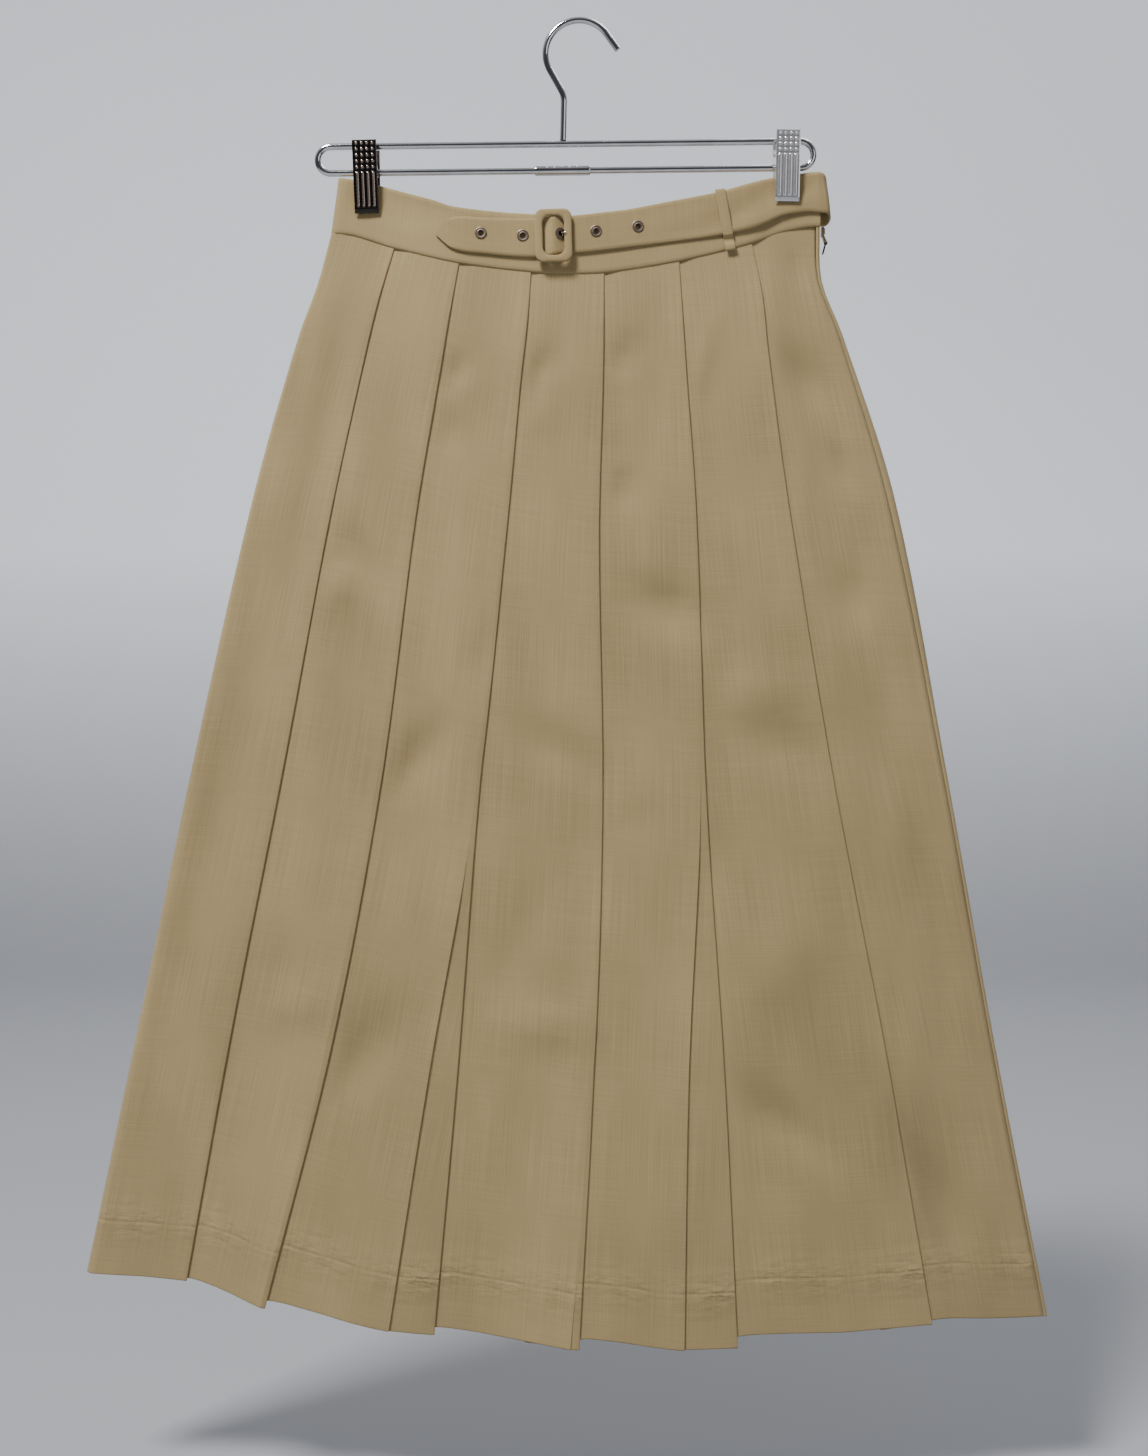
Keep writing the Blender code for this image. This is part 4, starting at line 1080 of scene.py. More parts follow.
@dataclass
class Waistband:
    """Faced band round the waist, meeting at the left side and open at the zip."""

    wall: float = 2.4
    top: Table = ((-167, -158, -141, -134, -118, -102, -88, -55, -30, -5, 25, 42, 84, 126, 155, 169),
                  (-108.5, -110, -113.9, -115.9, -120.5, -125, -129.8, -134.5, -136.4, -138.6, -136.5, -133.2,
                   -124.6, -113, -105.8, -104.2))
    seam: Table = PleatedSkirt.waist
    depth_top: Table = ((-173, -141, -128, -100, -60, 0, 60, 100, 126, 136, 169),
                        (1.5, 1.5, 2.4, 4.6, 7.6, 9.2, 7.6, 4.6, 2.2, 1.5, 1.5))
    depth_seam: Table = PleatedSkirt.seam_depth
    left_top: float = -167.3
    left_seam: float = -172.5
    right: float = 168.4
    columns: int = 120
    creases: tuple[Crease, ...] = (
        Crease(-158, -128, -25, 16, 5, 1.0), Crease(-112, -132, -14, 36, 6, 1.3),
        Crease(-92, -146, 4, 22, 6, -0.8), Crease(128, -122, 24, 16, 5, 0.8),
    )
    below_seam: float = 0.35
    left_bend: float = 0.012
    left_inset: float = 0.9
    left_share: float = 0.25
    least_depth: float = 0.12
    cloth_half: float = 0.17
    crown: float = 0.15
    edge: float = 0.5
    outside: Numbers = (0.02, 0.08, 0.25, 0.5, 0.75, 0.92, 0.98)
    inside: Numbers = (0.97, 0.75, 0.5, 0.25, 0.03)

    def depth(self, x: float, z: float) -> float:
        """Return the distance of the band's middle from the plane of the hanger."""
        low, high = curve(*self.seam, x), curve(*self.top, x)
        return mix(curve(*self.depth_seam, x), curve(*self.depth_top, x), (z - low) / (high - low))

    def point(self, face: Face, run: float, rise: float, out: float) -> Vector:
        """Find a point of the band.

        Args:
            face: front or back.
            run: share of the way from the left side to the right end.
            rise: share of the way from the seam to the top.
            out: distance outward from the band's middle.

        Returns:
            The point.
        """
        x = mix(mix(self.left_seam, self.left_top, rise), self.right, run)
        z = mix(curve(*self.seam, x) - self.below_seam, curve(*self.top, x), rise)
        bend = ease(0.0, self.left_bend, run)
        y = (self.depth(x, z) + out) * math.sin(math.pi / 2 * min(1.0, self.left_share + bend))
        if out > 0:
            if face is Face.FRONT:
                y -= sum(c.at(x, z) for c in self.creases) * ease(0.0, 0.1, 1 - abs(2 * rise - 1))
            x -= self.left_inset * (1 - bend)
        return Vector((x, face.value * max(y, self.least_depth), z))

    def half(self, face: Face, cloth: Material) -> None:
        """Build the front or the back of the band.

        Args:
            face: front or back.
            cloth: its material.
        """
        name = f"waistband_{face.name.lower()}"
        half = self.wall / 2
        ring = [(rise, half + self.crown * math.sin(math.pi * rise)) for rise in self.outside]
        ring += [(1.0, half - self.edge), (1.005, 0.0), (1.0, self.edge - half)]
        ring += [(rise, -half) for rise in self.inside]
        ring += [(0.0, self.edge - half), (-0.005, 0.0), (0.0, half - self.edge)]
        rows, uvs = [], []
        for run in fractions(self.columns):
            row = [self.point(face, run, rise, out) for rise, out in ring]
            rows.append(row)
            along = mix(-self.cloth_half, self.cloth_half, run)
            uvs.append([(along, length * MM) for length in runs(row + row[:1])])
        form = loft(rows, ring=True, caps=True, uvs=uvs)
        piece = add_piece(f"{name}_cloth", form, cloth, "skirt_cloth", (name,))

    def build(self) -> None:
        """Build both halves."""
        cloth = BAND_CLOTH.material()
        for face in Face:
            self.half(face, cloth)


@dataclass
class Belt:
    """Stiff strap with five eyelets, over the band and round the zip end, and its narrow loop.

    The strap is lifted over the buckle's bar: foot is the reach of the rise on either side of the bar,
    and crest where the two rises end.
    """

    band: Waistband
    wall: float = 1.8
    gap: float = 0.3
    top: Table = ((-99.5, -90, -65, -31, 0, 17, 34, 42, 84, 98, 126, 146, 169),
                  (-148.6, -138.7, -139, -139.6, -137.6, -135.6, -133.5, -131.9, -123.1, -119.9, -111.4,
                   -107.5, -105.5))
    bottom: Table = ((-99.5, -88, -67, -31, -4, 14, 84, 108, 124, 140, 146, 159, 169),
                     (-150.6, -160.2, -163.8, -166.6, -164, -162.3, -153, -148.4, -144.1, -136.4, -134.8,
                      -132.9, -133.6))
    columns: Numbers = (
        -99.5, -97, -94, -91.5, -90, -86, -80, -74.5, -68, -62, -56, -50, -45.5, -39, -33, -29, -27, -25.6,
        -24, -22,
        -20.5, -19, -18.2, -17.4, -16, -14, -12, -10.5, -9.5, -8, -4, 0, 5, 12, 18, 26, 34, 41, 47, 56, 65,
        75, 84, 91,
        98, 104, 110, 116, 121, 125, 128, 132, 136, 141, 146, 151, 157, 162, 167)
    back_columns: Numbers = (167, 162, 157, 151, 146, 141, 136, 132, 128, 124, 121)
    back_top: float = -111.0
    back_bottom: float = -141.0
    turn_top: float = 168.2
    turn_bottom: float = 171.4
    bar_x: float = -17.8
    bar_x: float = -17.8
    lift: float = 3.3
    foot: float = 7.8
    crest: Pair = (-1.2, 0.4)
    straightness: float = 0.6
    inner_crease: float = 0.55
    hole_corners: int = 24
    hole_reach: float = 9.0
    eyelet_steps: int = 40
    eyelet_x: Numbers = (-68.3, -39.2, -13.5, 11.6, 40.7)
    eyelet_z: Numbers = (-149.6, -151.7, -151.1, -148.9, -145.5)
    hole: float = 2.3
    loop_foot: float = 105.0
    loop_head: float = 98.0
    loop_width: float = 7.0
    loop_wall: float = 0.8
    creases: tuple[Crease, ...] = (
        Crease(113, -133, 26, 24, 5.5, 1.6), Crease(132, -118, 24, 14, 5, 0.9),
        Crease(160, -116, 22, 16, 4.5, 1.1),
        Crease(124, -140, 14, 26, 4, -0.9), Crease(150, -126, 8, 14, 5, -0.8),
        Crease(70, -150, 12, 34, 5, 0.6),
        Crease(60, -134, 10, 26, 5, 0.5), Crease(-60, -152, -4, 20, 5, 0.4),
    )
    loop_shares: Numbers = (-1.0, -0.9, -0.6, -0.2, 0.2, 0.6, 0.9, 1.0)
    loop_crown: float = 0.18

    def offset(self, x: float) -> float:
        """Work out the strap's distance from the middle of the band, which grows over the bar.

        Args:
            x: the place across.

        Returns:
            The distance.
        """
        flat = self.band.wall / 2 + self.gap + self.wall / 2
        away = x - self.bar_x
        foot, crest = (-self.foot, self.crest[0]) if away < 0 else (self.foot, self.crest[1])
        straight = min(max((away - foot) / (crest - foot), 0.0), 1.0)
        return flat + self.lift * mix(ease(foot, crest, away), straight, self.straightness)

    def on_front(self, x: float, z: float) -> Vector:
        """Return the middle of the strap at a place of the front."""
        return Vector((x, -(self.band.depth(x, z) + self.offset(x)), z))

    def spine(self) -> list[tuple[Vector, Vector]]:
        """Work out the columns of the strap, from its tip round the side to the end behind.

        Returns:
            The lower and upper end of each.
        """
        rows = []
        for heights, turn_x, back_z in ((self.bottom, self.turn_bottom, self.back_bottom),
                                        (self.top, self.turn_top, self.back_top)):
            row = [self.on_front(x, curve(*heights, x)) for x in self.columns]
            radius = -row[-1].y
            for turn in map(math.radians, range(75, -76, -15)):
                z = mix(back_z, heights[1][-1], (1 + math.sin(turn)) / 2)
                row.append(Vector((turn_x + radius * math.cos(turn), -radius * math.sin(turn), z)))
            row += [Vector((x, self.band.depth(x, back_z) + self.offset(x), back_z))
                    for x in self.back_columns]
            rows.append(row)
        return list(zip(*rows))

    def strap(self, cloth: Material) -> None:
        """Build the strap, with its eyelet holes cut.

        Args:
            cloth: its material.
        """
        spine = self.spine()
        half = self.wall / 2
        edge = half - 0.5
        ring = [(0.0, -edge), (-0.004, 0.0), (0.0, edge), (0.02, half), (0.1, half), (0.3, half + 0.1),
                (0.5, half + 0.12), (0.7, half + 0.1), (0.9, half), (0.98, half), (1.0, edge), (1.004, 0.0),
                (1.0, -edge), (0.97, -half), (0.7, -half), (0.3, -half), (0.03, -half)]
        rows, uvs, run = [], [], 0.0
        for i, (low, high) in enumerate(spine):
            before, after = spine[max(i - 1, 0)], spine[min(i + 1, len(spine) - 1)]
            along = ((after[0] - before[0]) + (after[1] - before[1])).normalized()
            out = along.cross(high - low).normalized()
            row = []
            for rise, depth in ring:
                spot = low.lerp(high, rise)
                sunk = sum(c.at(spot.x, spot.z) for c in self.creases) if spot.y < 0 else 0.0
                row.append(spot + out * (depth - sunk * (1.0 if depth > 0 else self.inner_crease)))
            run += (low - before[0]).length
            rows.append(row)
            uvs.append([(run * MM, (high - low).length * rise * MM) for rise, _ in ring + ring[:1]])
        form = loft(rows, ring=True, caps=True, uvs=uvs)
        piece = add_piece("belt_strap_cloth", form, cloth, "belt_cloth", ("belt_strap",))
        holes = bmesh.new()
        for centre, out in self.eyelet_places():
            bmesh.ops.create_cone(holes, cap_ends=True, segments=self.hole_corners, radius1=self.hole,
                                  radius2=self.hole, depth=self.hole_reach, matrix=facing(centre, out))
        self.cut(piece, holes)

    def cut(self, piece: Piece, holes: Form) -> None:
        """Cut holes through a piece for good, with a cutter that is then removed.

        Args:
            piece: the piece.
            holes: the form to take out, in millimetres.
        """
        bmesh.ops.scale(holes, vec=(MM, MM, MM), verts=holes.verts[:])
        cutter = linked("holes", meshed("holes", holes))
        step = piece.modifiers.new("holes", "BOOLEAN")
        step.operation = "DIFFERENCE"
        step.object = cutter
        bpy.context.view_layer.update()
        done = bpy.data.meshes.new_from_object(piece.evaluated_get(bpy.context.evaluated_depsgraph_get()))
        piece.modifiers.clear()
        piece.data = done
        bpy.data.objects.remove(cutter)

    def eyelet_places(self) -> list[tuple[Vector, Vector]]:
        """Find the eyelets.

        Returns:
            The middle of each and the direction out of the strap there.
        """
        places = []
        for x, z in zip(self.eyelet_x, self.eyelet_z):
            along = self.on_front(x + 2, z) - self.on_front(x - 2, z)
            up = self.on_front(x, z + 2) - self.on_front(x, z - 2)
            out = along.cross(up).normalized()
            places.append((self.on_front(x, z), out if out.y < 0 else -out))
        return places

    def eyelets(self, metal: Material) -> None:
        """Build the rolled eyelets.

        Args:
            metal: their material.
        """
        face = self.wall / 2 + 0.15
        profile = [(1.55, -1.0), (2.0, -1.0), (2.15, face), (3.7, face), (4.05, face + 0.12),
                   (4.05, face + 0.34), (3.75, face + 0.5), (3.3, face + 0.52), (2.85, face + 0.36),
                   (2.5, face + 0.34), (2.2, face + 0.5), (1.85, face + 0.5), (1.6, face + 0.2),
                   (1.5, face - 0.4)]
        for number, (centre, out) in enumerate(self.eyelet_places(), start=1):
            form = put(turned(profile, self.eyelet_steps), facing(centre, out))
            add_piece(f"eyelet_{number}_ring", form, metal, "eyelet_metal", (f"eyelet_{number}",))

    def loop(self, cloth: Material) -> None:
        """Build the narrow loop that holds the strap.

        Args:
            cloth: its material.
        """
        foot = upright(self.loop_foot, curve(*self.band.seam, self.loop_foot))
        head = upright(self.loop_head, curve(*self.top, self.loop_head))
        up = (head - foot).normalized()
        across = upright(up.z, -up.x)
        top = (head - foot).length
        under = (curve(*self.bottom, self.loop_foot - 2) - foot.z) / up.z
        low = self.gap + self.loop_wall / 2
        high = low + self.gap + self.wall
        path = [(-1.6, low + 0.1), (-1.7, low + 0.7), (-1.2, low + 1.2), (-0.2, low + 1.35), (1.6, low + 1.3),
                (3.0, low + 0.9), (3.8, low + 0.3), (5.0, low), (under - 3.4, low),
                (under - 2.5, mix(low, high, 0.3)), (under - 1.4, high), (under + 4, high + 0.05),
                (mix(under, top, 0.5), high + 0.1), (top - 3, high), (top + 0.4, high),
                (top + 1.2, high - 0.5), (top + 1.4, high - 1.1), (top + 1.4, self.gap)]
        half = self.loop_width / 2
        rows = []
        for v, height in path:
            row = [foot + up * v + across * (half * share) for share in self.loop_shares]
            for spot, share in zip(row, self.loop_shares):
                crown = self.loop_crown * (1 - share * share)
                spot.y = -(self.band.depth(spot.x, spot.z) + self.band.wall / 2 + height + crown)
            rows.append(row)
        along = runs([row[3] for row in rows])
        uvs = [[(share * half * MM, run * MM) for share in self.loop_shares] for run in along]
        form = loft(rows, uvs=uvs)
        piece = add_piece("belt_loop_cloth", form, cloth, "belt_cloth", ("belt_loop",), wall=self.loop_wall)
        soft = piece.modifiers.new("soft", "SUBSURF")
        soft.levels = soft.render_levels = 1

    def build(self) -> None:
        """Build the strap, eyelets and loop."""
        cloth = BELT_CLOTH.material()
        self.strap(cloth)
        self.eyelets(EYELET.material())
        self.loop(cloth)


@dataclass
class Buckle:
    """Covered frame with its bar, and the wire prong.

    outer and inner are the frame's width, height and corner radius outside and inside. The prong's route
    is a distance across and one out from the band for each point after its ring.
    """

    band: Waistband
    x: float = -17.8
    z: float = -152.2
    drop: float = 0.5
    tilt: float = 1.5
    outer: Triple = (25.6, 36.6, 5.5)
    inner: Triple = (15.0, 27.2, 5.4)
    corner_steps: int = 8
    side_steps: int = 6
    round_steps: int = 20
    cloth_steps: Pair = (0.0019, 0.0008)
    back: float = 3.5
    thick: float = 3.0
    bar_height: float = 1.8
    bar_radius: float = 0.5
    bar_half: float = 15.2
    post_radius: float = 0.8
    prong_z: float = 1.1
    prong_ring: float = 1.1
    prong_route: tuple[Pair, ...] = (
        (2.4, 1.5), (3.1, 1.5), (3.7, 1.75), (4.15, 2.3), (4.5, 3.0), (4.9, 3.9), (5.3, 4.7), (5.7, 5.3),
        (6.3, 6.1), (6.9, 6.7), (7.7, 7.1), (8.7, 7.2))

    def place(self) -> Matrix:
        """Work out where the buckle sits.

        Returns:
            The matrix from its own centre to the frame.
        """
        front = self.band.depth(self.x, self.z) + self.band.wall / 2
        return (Matrix.Translation((self.x, -front, self.z))
                @ Matrix.Rotation(-math.radians(self.tilt), 4, "Y"))

    def outline(self, width: float, height: float, radius: float) -> list[Pair]:
        """Draw a rectangle with round corners and points along its sides.

        Args:
            width: its width.
            height: its height.
            radius: the corners' radius.

        Returns:
            The points.
        """
        corners = []
        for number, (right, up) in enumerate(((1, 1), (-1, 1), (-1, -1), (1, -1))):
            centre = (right * (width / 2 - radius), up * (height / 2 - radius))
            angles = [math.radians(90 * number + 90 * s) for s in fractions(self.corner_steps)]
            corners.append(arc(centre, radius, angles))
        points = []
        for this, after in zip(corners, corners[1:] + corners[:1]):
            (x, z), (next_x, next_z) = this[-1], after[0]
            points += this
            points += [(mix(x, next_x, s), mix(z, next_z, s)) for s in fractions(self.side_steps)[1:-1]]
        return points

    def frame(self, cloth: Material) -> None:
        """Build the cloth-covered frame with its bar.

        Args:
            cloth: its material.
        """
        middle = self.back + self.thick / 2
        rows = []
        for (ox, oz), (ix, iz) in zip(self.outline(*self.outer), self.outline(*self.inner)):
            row = []
            for angle in circle(self.round_steps):
                share = 0.5 - 0.5 * math.copysign(abs(math.cos(angle))**0.75, math.cos(angle))
                height = math.copysign(abs(math.sin(angle))**0.6, math.sin(angle)) * self.thick / 2
                row.append(Vector((mix(ox, ix, share), -(middle + height), mix(oz, iz, share))))
            rows.append(row)
        along, around = self.cloth_steps
        uvs = [[(i * along, step * around) for step in range(self.round_steps + 1)]
               for i in range(len(rows) + 1)]
        form = loft(rows, ring=True, hoop=True, uvs=uvs)
        put(form, self.place() @ Matrix.Translation((0, 0, -self.drop)))
        bar = [Vector((0, -self.bar_height, z)) for z in (-self.bar_half, 0, self.bar_half)]
        join_in(form, put(tube(bar, self.bar_radius, 10), self.place()))
        for end in (-1, 1):
            post = [Vector((0, -h, end * (self.bar_half + 0.2)))
                    for h in (self.bar_height - 0.5, self.back + 0.8)]
            join_in(form, put(tube(post, self.post_radius, 10), self.place()))
        add_piece("buckle_frame_cloth", form, cloth, "belt_cloth", ("buckle_frame",))

    def prong(self, metal: Material) -> None:
        """Build the wire prong from its ring on the bar to its tip in the eyelet.

        Args:
            metal: its material.
        """
        ring = arc((0, self.bar_height), self.prong_ring, map(math.radians, range(300, 0, -20)))
        points = [Vector((x, -out, self.prong_z)) for x, out in (*ring, *self.prong_route)]
        form = put(tube(points, lambda s: 0.42 if s < 0.96 else 0.3, 12), self.place())
        add_piece("buckle_prong_wire", form, metal, "bright_metal", ("buckle_prong",))

    def build(self) -> None:
        """Build the frame and prong."""
        self.frame(BUCKLE_CLOTH.material())
        self.prong(BRIGHT.material())


# Hanger

@dataclass
class WireHanger:
    """Hook, long loop of wire and the crimped sleeve that closes it.

    left and right are the middles of the loop's round ends. shoulder lists the points of the hook's
    bend, measured from bend, and bow its first angle and the way it goes round.
    """

    wire: float = 2.3
    hook_radius: float = 23.6
    bend: Pair = (-11.34, -50.0)
    tip: Pair = (27.2, -18.7)
    shoulder: tuple[Pair, ...] = ((0.65, -4), (0.45, -2), (0, 0), (-0.7, 1.8), (-1.6, 3.6))
    bow: Pair = (209, -169)
    left: Pair = (-173.7, -95.7)
    right: Pair = (154.6, -91.9)
    end_radius: float = 9.3
    sleeve: Pair = (-30.9, 7.6)
    sleeve_radius: float = 3.35
    sleeve_lip: float = 0.25
    sleeve_bore: float = 0.77
    crimp_pitch: float = 5.2
    crimp_depth: float = 0.75
    bow_steps: int = 56
    end_steps: int = 32
    side_steps: int = 12
    sleeve_steps: int = 110
    sleeve_corners: int = 28

    def height(self, x: float) -> float:
        """Return the height of the loop's middle line."""
        return mix(self.left[1], self.right[1], (x - self.left[0]) / (self.right[0] - self.left[0]))

    def tilt(self) -> float:
        """Return the slope of the loop, as an angle."""
        return math.atan2(self.right[1] - self.left[1], self.right[0] - self.left[0])

    def hook(self, metal: Material) -> None:
        """Build the hook.

        Args:
            metal: its material.
        """
        x, z = self.bend
        foot = self.height(x) + self.end_radius + self.wire + 0.1
        points = [upright(mix(x, x + 0.6, s), mix(foot, z - 6, s)) for s in fractions(4)]
        points += [upright(x + right, z + up) for right, up in self.shoulder]
        angles = [math.radians(self.bow[0] + self.bow[1] * s) for s in fractions(self.bow_steps)]
        bow = [upright(*spot) for spot in arc((0, self.wire - self.hook_radius), self.hook_radius, angles)]
        last, tip = points[-1], upright(*self.tip)
        points += [last.lerp(bow[0], s) for s in fractions(4)[1:-1]] + bow
        points += [bow[-1].lerp(tip, s) for s in (0.3, 0.6, 0.85, 0.95, 0.99, 1.0)]
        form = tube(points, lambda s: self.wire * (1 - 0.35 * ease(0.985, 1.0, s)), 24)
        add_piece("hanger_hook_wire", form, metal, "bright_metal", ("hanger_hook",))

    def loop(self, metal: Material) -> None:
        """Build the long loop.

        Args:
            metal: its material.
        """
        ends = []
        for centre, first in ((self.left, 90), (self.right, -90)):
            angles = [math.radians(first + 180 * s) + self.tilt() for s in fractions(self.end_steps)]
            ends.append([upright(*spot) for spot in arc(centre, self.end_radius, angles)])
        points = []
        for this, after in zip(ends, ends[::-1]):
            points += this + [this[-1].lerp(after[0], s) for s in fractions(self.side_steps)[1:-1]]
        form = tube(points, self.wire, 20, closed=True)
        add_piece("hanger_loop_wire", form, metal, "bright_metal", ("hanger_loop",))

    def ferrule(self, metal: Material) -> None:
        """Build the sleeve with its row of crimps.

        Args:
            metal: its material.
        """
        low, high = self.sleeve
        middle = (low + high) / 2
        sections = []
        for share in fractions(self.sleeve_steps):
            x = mix(low, high, share) - middle
            crimp = self.crimp_depth * max(0.0, math.cos(x / self.crimp_pitch * math.tau))**6
            crimp *= ease(0.08, 0.16, share) * ease(0.92, 0.84, share)
            lips = 1 - ease(0.0, 0.02, share) + ease(0.98, 1.0, share)
            row = []
            for a in circle(self.sleeve_corners):
                up, out = math.cos(a + math.pi / 2), math.sin(a + math.pi / 2)
                radius = self.sleeve_radius - self.sleeve_lip * lips - crimp * max(0.0, up)**4
                row.append(Vector((x, radius * out, radius * up)))
            sections.append(row)
        bore = self.sleeve_bore
        inner = [[Vector((p.x, p.y * bore, p.z * bore)) for p in row] for row in (sections[-1], sections[0])]
        form = loft(sections + inner, ring=True, hoop=True)
        place = Matrix.Translation((middle, 0, self.height(middle) - self.end_radius))
        put(form, place @ Matrix.Rotation(-self.tilt(), 4, "Y"))
        add_piece("hanger_ferrule_sleeve", form, metal, "bright_metal", ("hanger_ferrule",))

    def build(self) -> None:
        """Build the wire parts."""
        metal = BRIGHT.material()
        self.hook(metal)
        self.loop(metal)
        self.ferrule(metal)


@dataclass
class SkirtClip:
    """Sprung clip: two stamped leaves with grip dots and ribs, ears round the wire, and a coil."""

    wire: WireHanger
    side: str
    x: float
    lean: float
    above: float
    below: float
    jaw: float
    finish: MetalFinish
    slot: str
    ribs: int = 4
    dot_rows: int = 5
    dot_pitch: float = 4.0
    dot_radius: float = 1.35
    width: float = 16.8
    plate: float = 1.2
    mouth: float = 11.0
    ear_radius: float = 3.6
    front_ear: float = 7.9
    back_ear: float = 6.5
    hole: float = 2.6
    lip: float = 2.6
    lip_out: float = 1.9
    jaw_out: float = 1.6
    relief_height: float = 0.75
    rib_half: float = 1.25
    top_margin: float = 2.4
    rib_margin: float = 3.4
    leaf_rows: int = 150
    leaf_columns: int = 64
    ear_corners: int = 40
    ear_root_low: float = 4.692
    ear_root_high: float = 7.14
    ear_wall: float = 1.0
    ear_sunk: float = 0.3
    ear_turn: float = 0.2
    bevel: float = 0.15
    side_margin: float = 0.55
    rib_gap: float = 0.6
    rib_end: float = 1.2
    rim_width: float = 0.8
    rim_drop: float = 0.25
    # Heights of relief over which the painted highlight fades in on the dot and rib tops.
    highlight_heights: Pair = (0.52, 0.74)
    coil_wire: float = 0.5
    coil_turns: int = 7
    coil_steps: int = 18
    coil_half: float = 4.4
    coil_radius: float = 3.25
    leg_height: float = 9.0

    def place(self) -> Matrix:
        """Return the matrix from the pivot to the frame."""
        pivot = (self.x, 0, self.wire.height(self.x) - self.wire.end_radius)
        return Matrix.Translation(pivot) @ Matrix.Rotation(math.radians(self.lean), 4, "Y")

    def depth(self, height: float) -> float:
        """Work out the depth of a leaf's outside.

        Args:
            height: the height above the wire.

        Returns:
            The depth there.
        """
        low = self.lip - self.below
        jaw = self.jaw + self.jaw_out + self.plate
        if height < low:
            return mix(self.jaw + self.lip_out, jaw, (height + self.below) / self.lip)
        return mix(jaw, self.mouth + self.plate, (height - low) / (self.above - low))

    def relief(self, across: float, height: float) -> float:
        """Work out how far the stamping raises the leaf: rows of dots above, ribs below.

        Args:
            across: the place across, from the leaf's middle.
            height: the height above the wire.

        Returns:
            The rise there.
        """
        pitch = self.width / (self.ribs + self.side_margin)
        column = across / pitch + self.ribs / 2
        if not 0 <= column <= self.ribs:
            return 0.0
        near = (column - math.floor(column) - 0.5) * pitch
        top = self.above - self.top_margin
        row = (top - height) / self.dot_pitch
        if 0 <= row + 0.5 <= self.dot_rows:
            off = (row - round(row)) * self.dot_pitch
            reach = (near * near + off * off) / self.dot_radius**2
            return self.relief_height * math.sqrt(max(0.0, 1 - reach))
        start = top - self.dot_pitch * (self.dot_rows - 0.5) - self.rib_gap
        end = self.rib_margin - self.below
        if end < height < start:
            run = ease(0.0, self.rib_end, min(start - height, height - end))
            return self.relief_height * run * math.sqrt(max(0.0, 1 - (near / self.rib_half)**2))
        return 0.0

    def leaf(self, face: Face, metal: Material) -> None:
        """Build one leaf with its ears.

        Args:
            face: front or back.
            metal: its material.
        """
        sections = []
        for height in (mix(self.above, -self.below, s) for s in fractions(self.leaf_rows)):
            row = []
            for a in (self.width * (s - 0.5) for s in fractions(self.leaf_columns)):
                rim = ease(0.0, self.rim_width, self.width / 2 - abs(a))
                rim *= ease(0.0, self.rim_width, min(self.above - height, height + self.below))
                out = self.depth(height) - self.rim_drop * (1 - rim) + self.relief(a, height)
                row.append(Vector((a, face.value * out, height)))
            sections.append(row)
        form = loft(sections)
        # Share of the painted highlight at each point: the tops of the dots and ribs.
        lift = form.verts.layers.float.new("raised_highlight")
        for vert in form.verts:
            vert[lift] = ease(*self.highlight_heights, self.relief(vert.co.x, vert.co.z))
        self.thicken(form, face)
        at = self.front_ear if face is Face.FRONT else self.back_ear
        for end in (-1, 1):
            join_in(form, self.ear(face, end * at, end * (at - self.ear_wall)))
        name = f"clip_{self.side}_{face.name.lower()}"
        add_piece(f"{name}_leaf", put(form, self.place()), metal, self.slot, (name,), sharp=35)

    def thicken(self, form: Form, face: Face) -> None:
        """Give the leaf its plate: an inner side under the outer one, joined round the rim.

        Args:
            form: the leaf's outer side.
            face: front or back.
        """
        grown = bmesh.ops.extrude_face_region(form, geom=form.faces[:])
        for vert in (v for v in grown["geom"] if isinstance(v, bmesh.types.BMVert)):
            vert.co.y = face.value * (self.depth(vert.co.z) - self.plate)
        bmesh.ops.recalc_face_normals(form, faces=form.faces[:])

    def ear(self, face: Face, outside: float, inside: float) -> Form:
        """Make one ear: a plate round the wire's hole that joins the leaf.

        Args:
            face: front or back.
            outside: x of its outer side.
            inside: x of its inner side.

        Returns:
            The form.
        """
        reach = self.depth(0.0) - self.plate + self.ear_sunk
        sections = []
        for x, shrink in ((outside, self.bevel), (outside, 0.0), (inside, 0.0), (inside, self.bevel)):
            rim = self.ear_radius - shrink
            row = []
            for y, z in arc((0, 0), 1.0, circle(self.ear_corners)):
                if y * face.value > self.ear_turn:
                    root = self.ear_root_high if z > 0 else self.ear_root_low
                    row.append(Vector((x, face.value * reach, z * root)))
                else:
                    row.append(Vector((x, y * rim, z * rim)))
            sections.append(row)
        for x in (inside, outside):
            sections.append([Vector((x, y, z)) for y, z in arc((0, 0), self.hole, circle(self.ear_corners))])
        return loft(sections, ring=True, hoop=True)

    def coil(self, metal: Material) -> None:
        """Build the spring round the wire with its two legs on the leaves.

        Args:
            metal: its material.
        """
        count = self.coil_turns * self.coil_steps
        turns = arc((0, 0), self.coil_radius, (math.tau * i / self.coil_steps for i in range(count + 1)))
        half, end = self.coil_half, self.leg_height
        rest = self.depth(end) - self.plate - 0.6
        points = [Vector((-half, rest, end)), Vector((-half, 5.2, 3.4))]
        points += [Vector((mix(-half, half, s), y, z)) for s, (y, z) in zip(fractions(count), turns)]
        points += [Vector((half, y, z)) for y, z in ((3.3, 2.2), (-1.0, 4.6), (-rest, end))]
        name = f"clip_{self.side}_spring"
        form = put(tube(points, self.coil_wire, 8), self.place())
        add_piece(f"{name}_coil", form, metal, "bright_metal", (name,))

    def build(self, coil_metal: Material) -> None:
        """Build both leaves and the spring.

        Args:
            coil_metal: the spring's material.
        """
        metal = self.finish.material()
        for face in Face:
            self.leaf(face, metal)
        self.coil(coil_metal)


# Zip

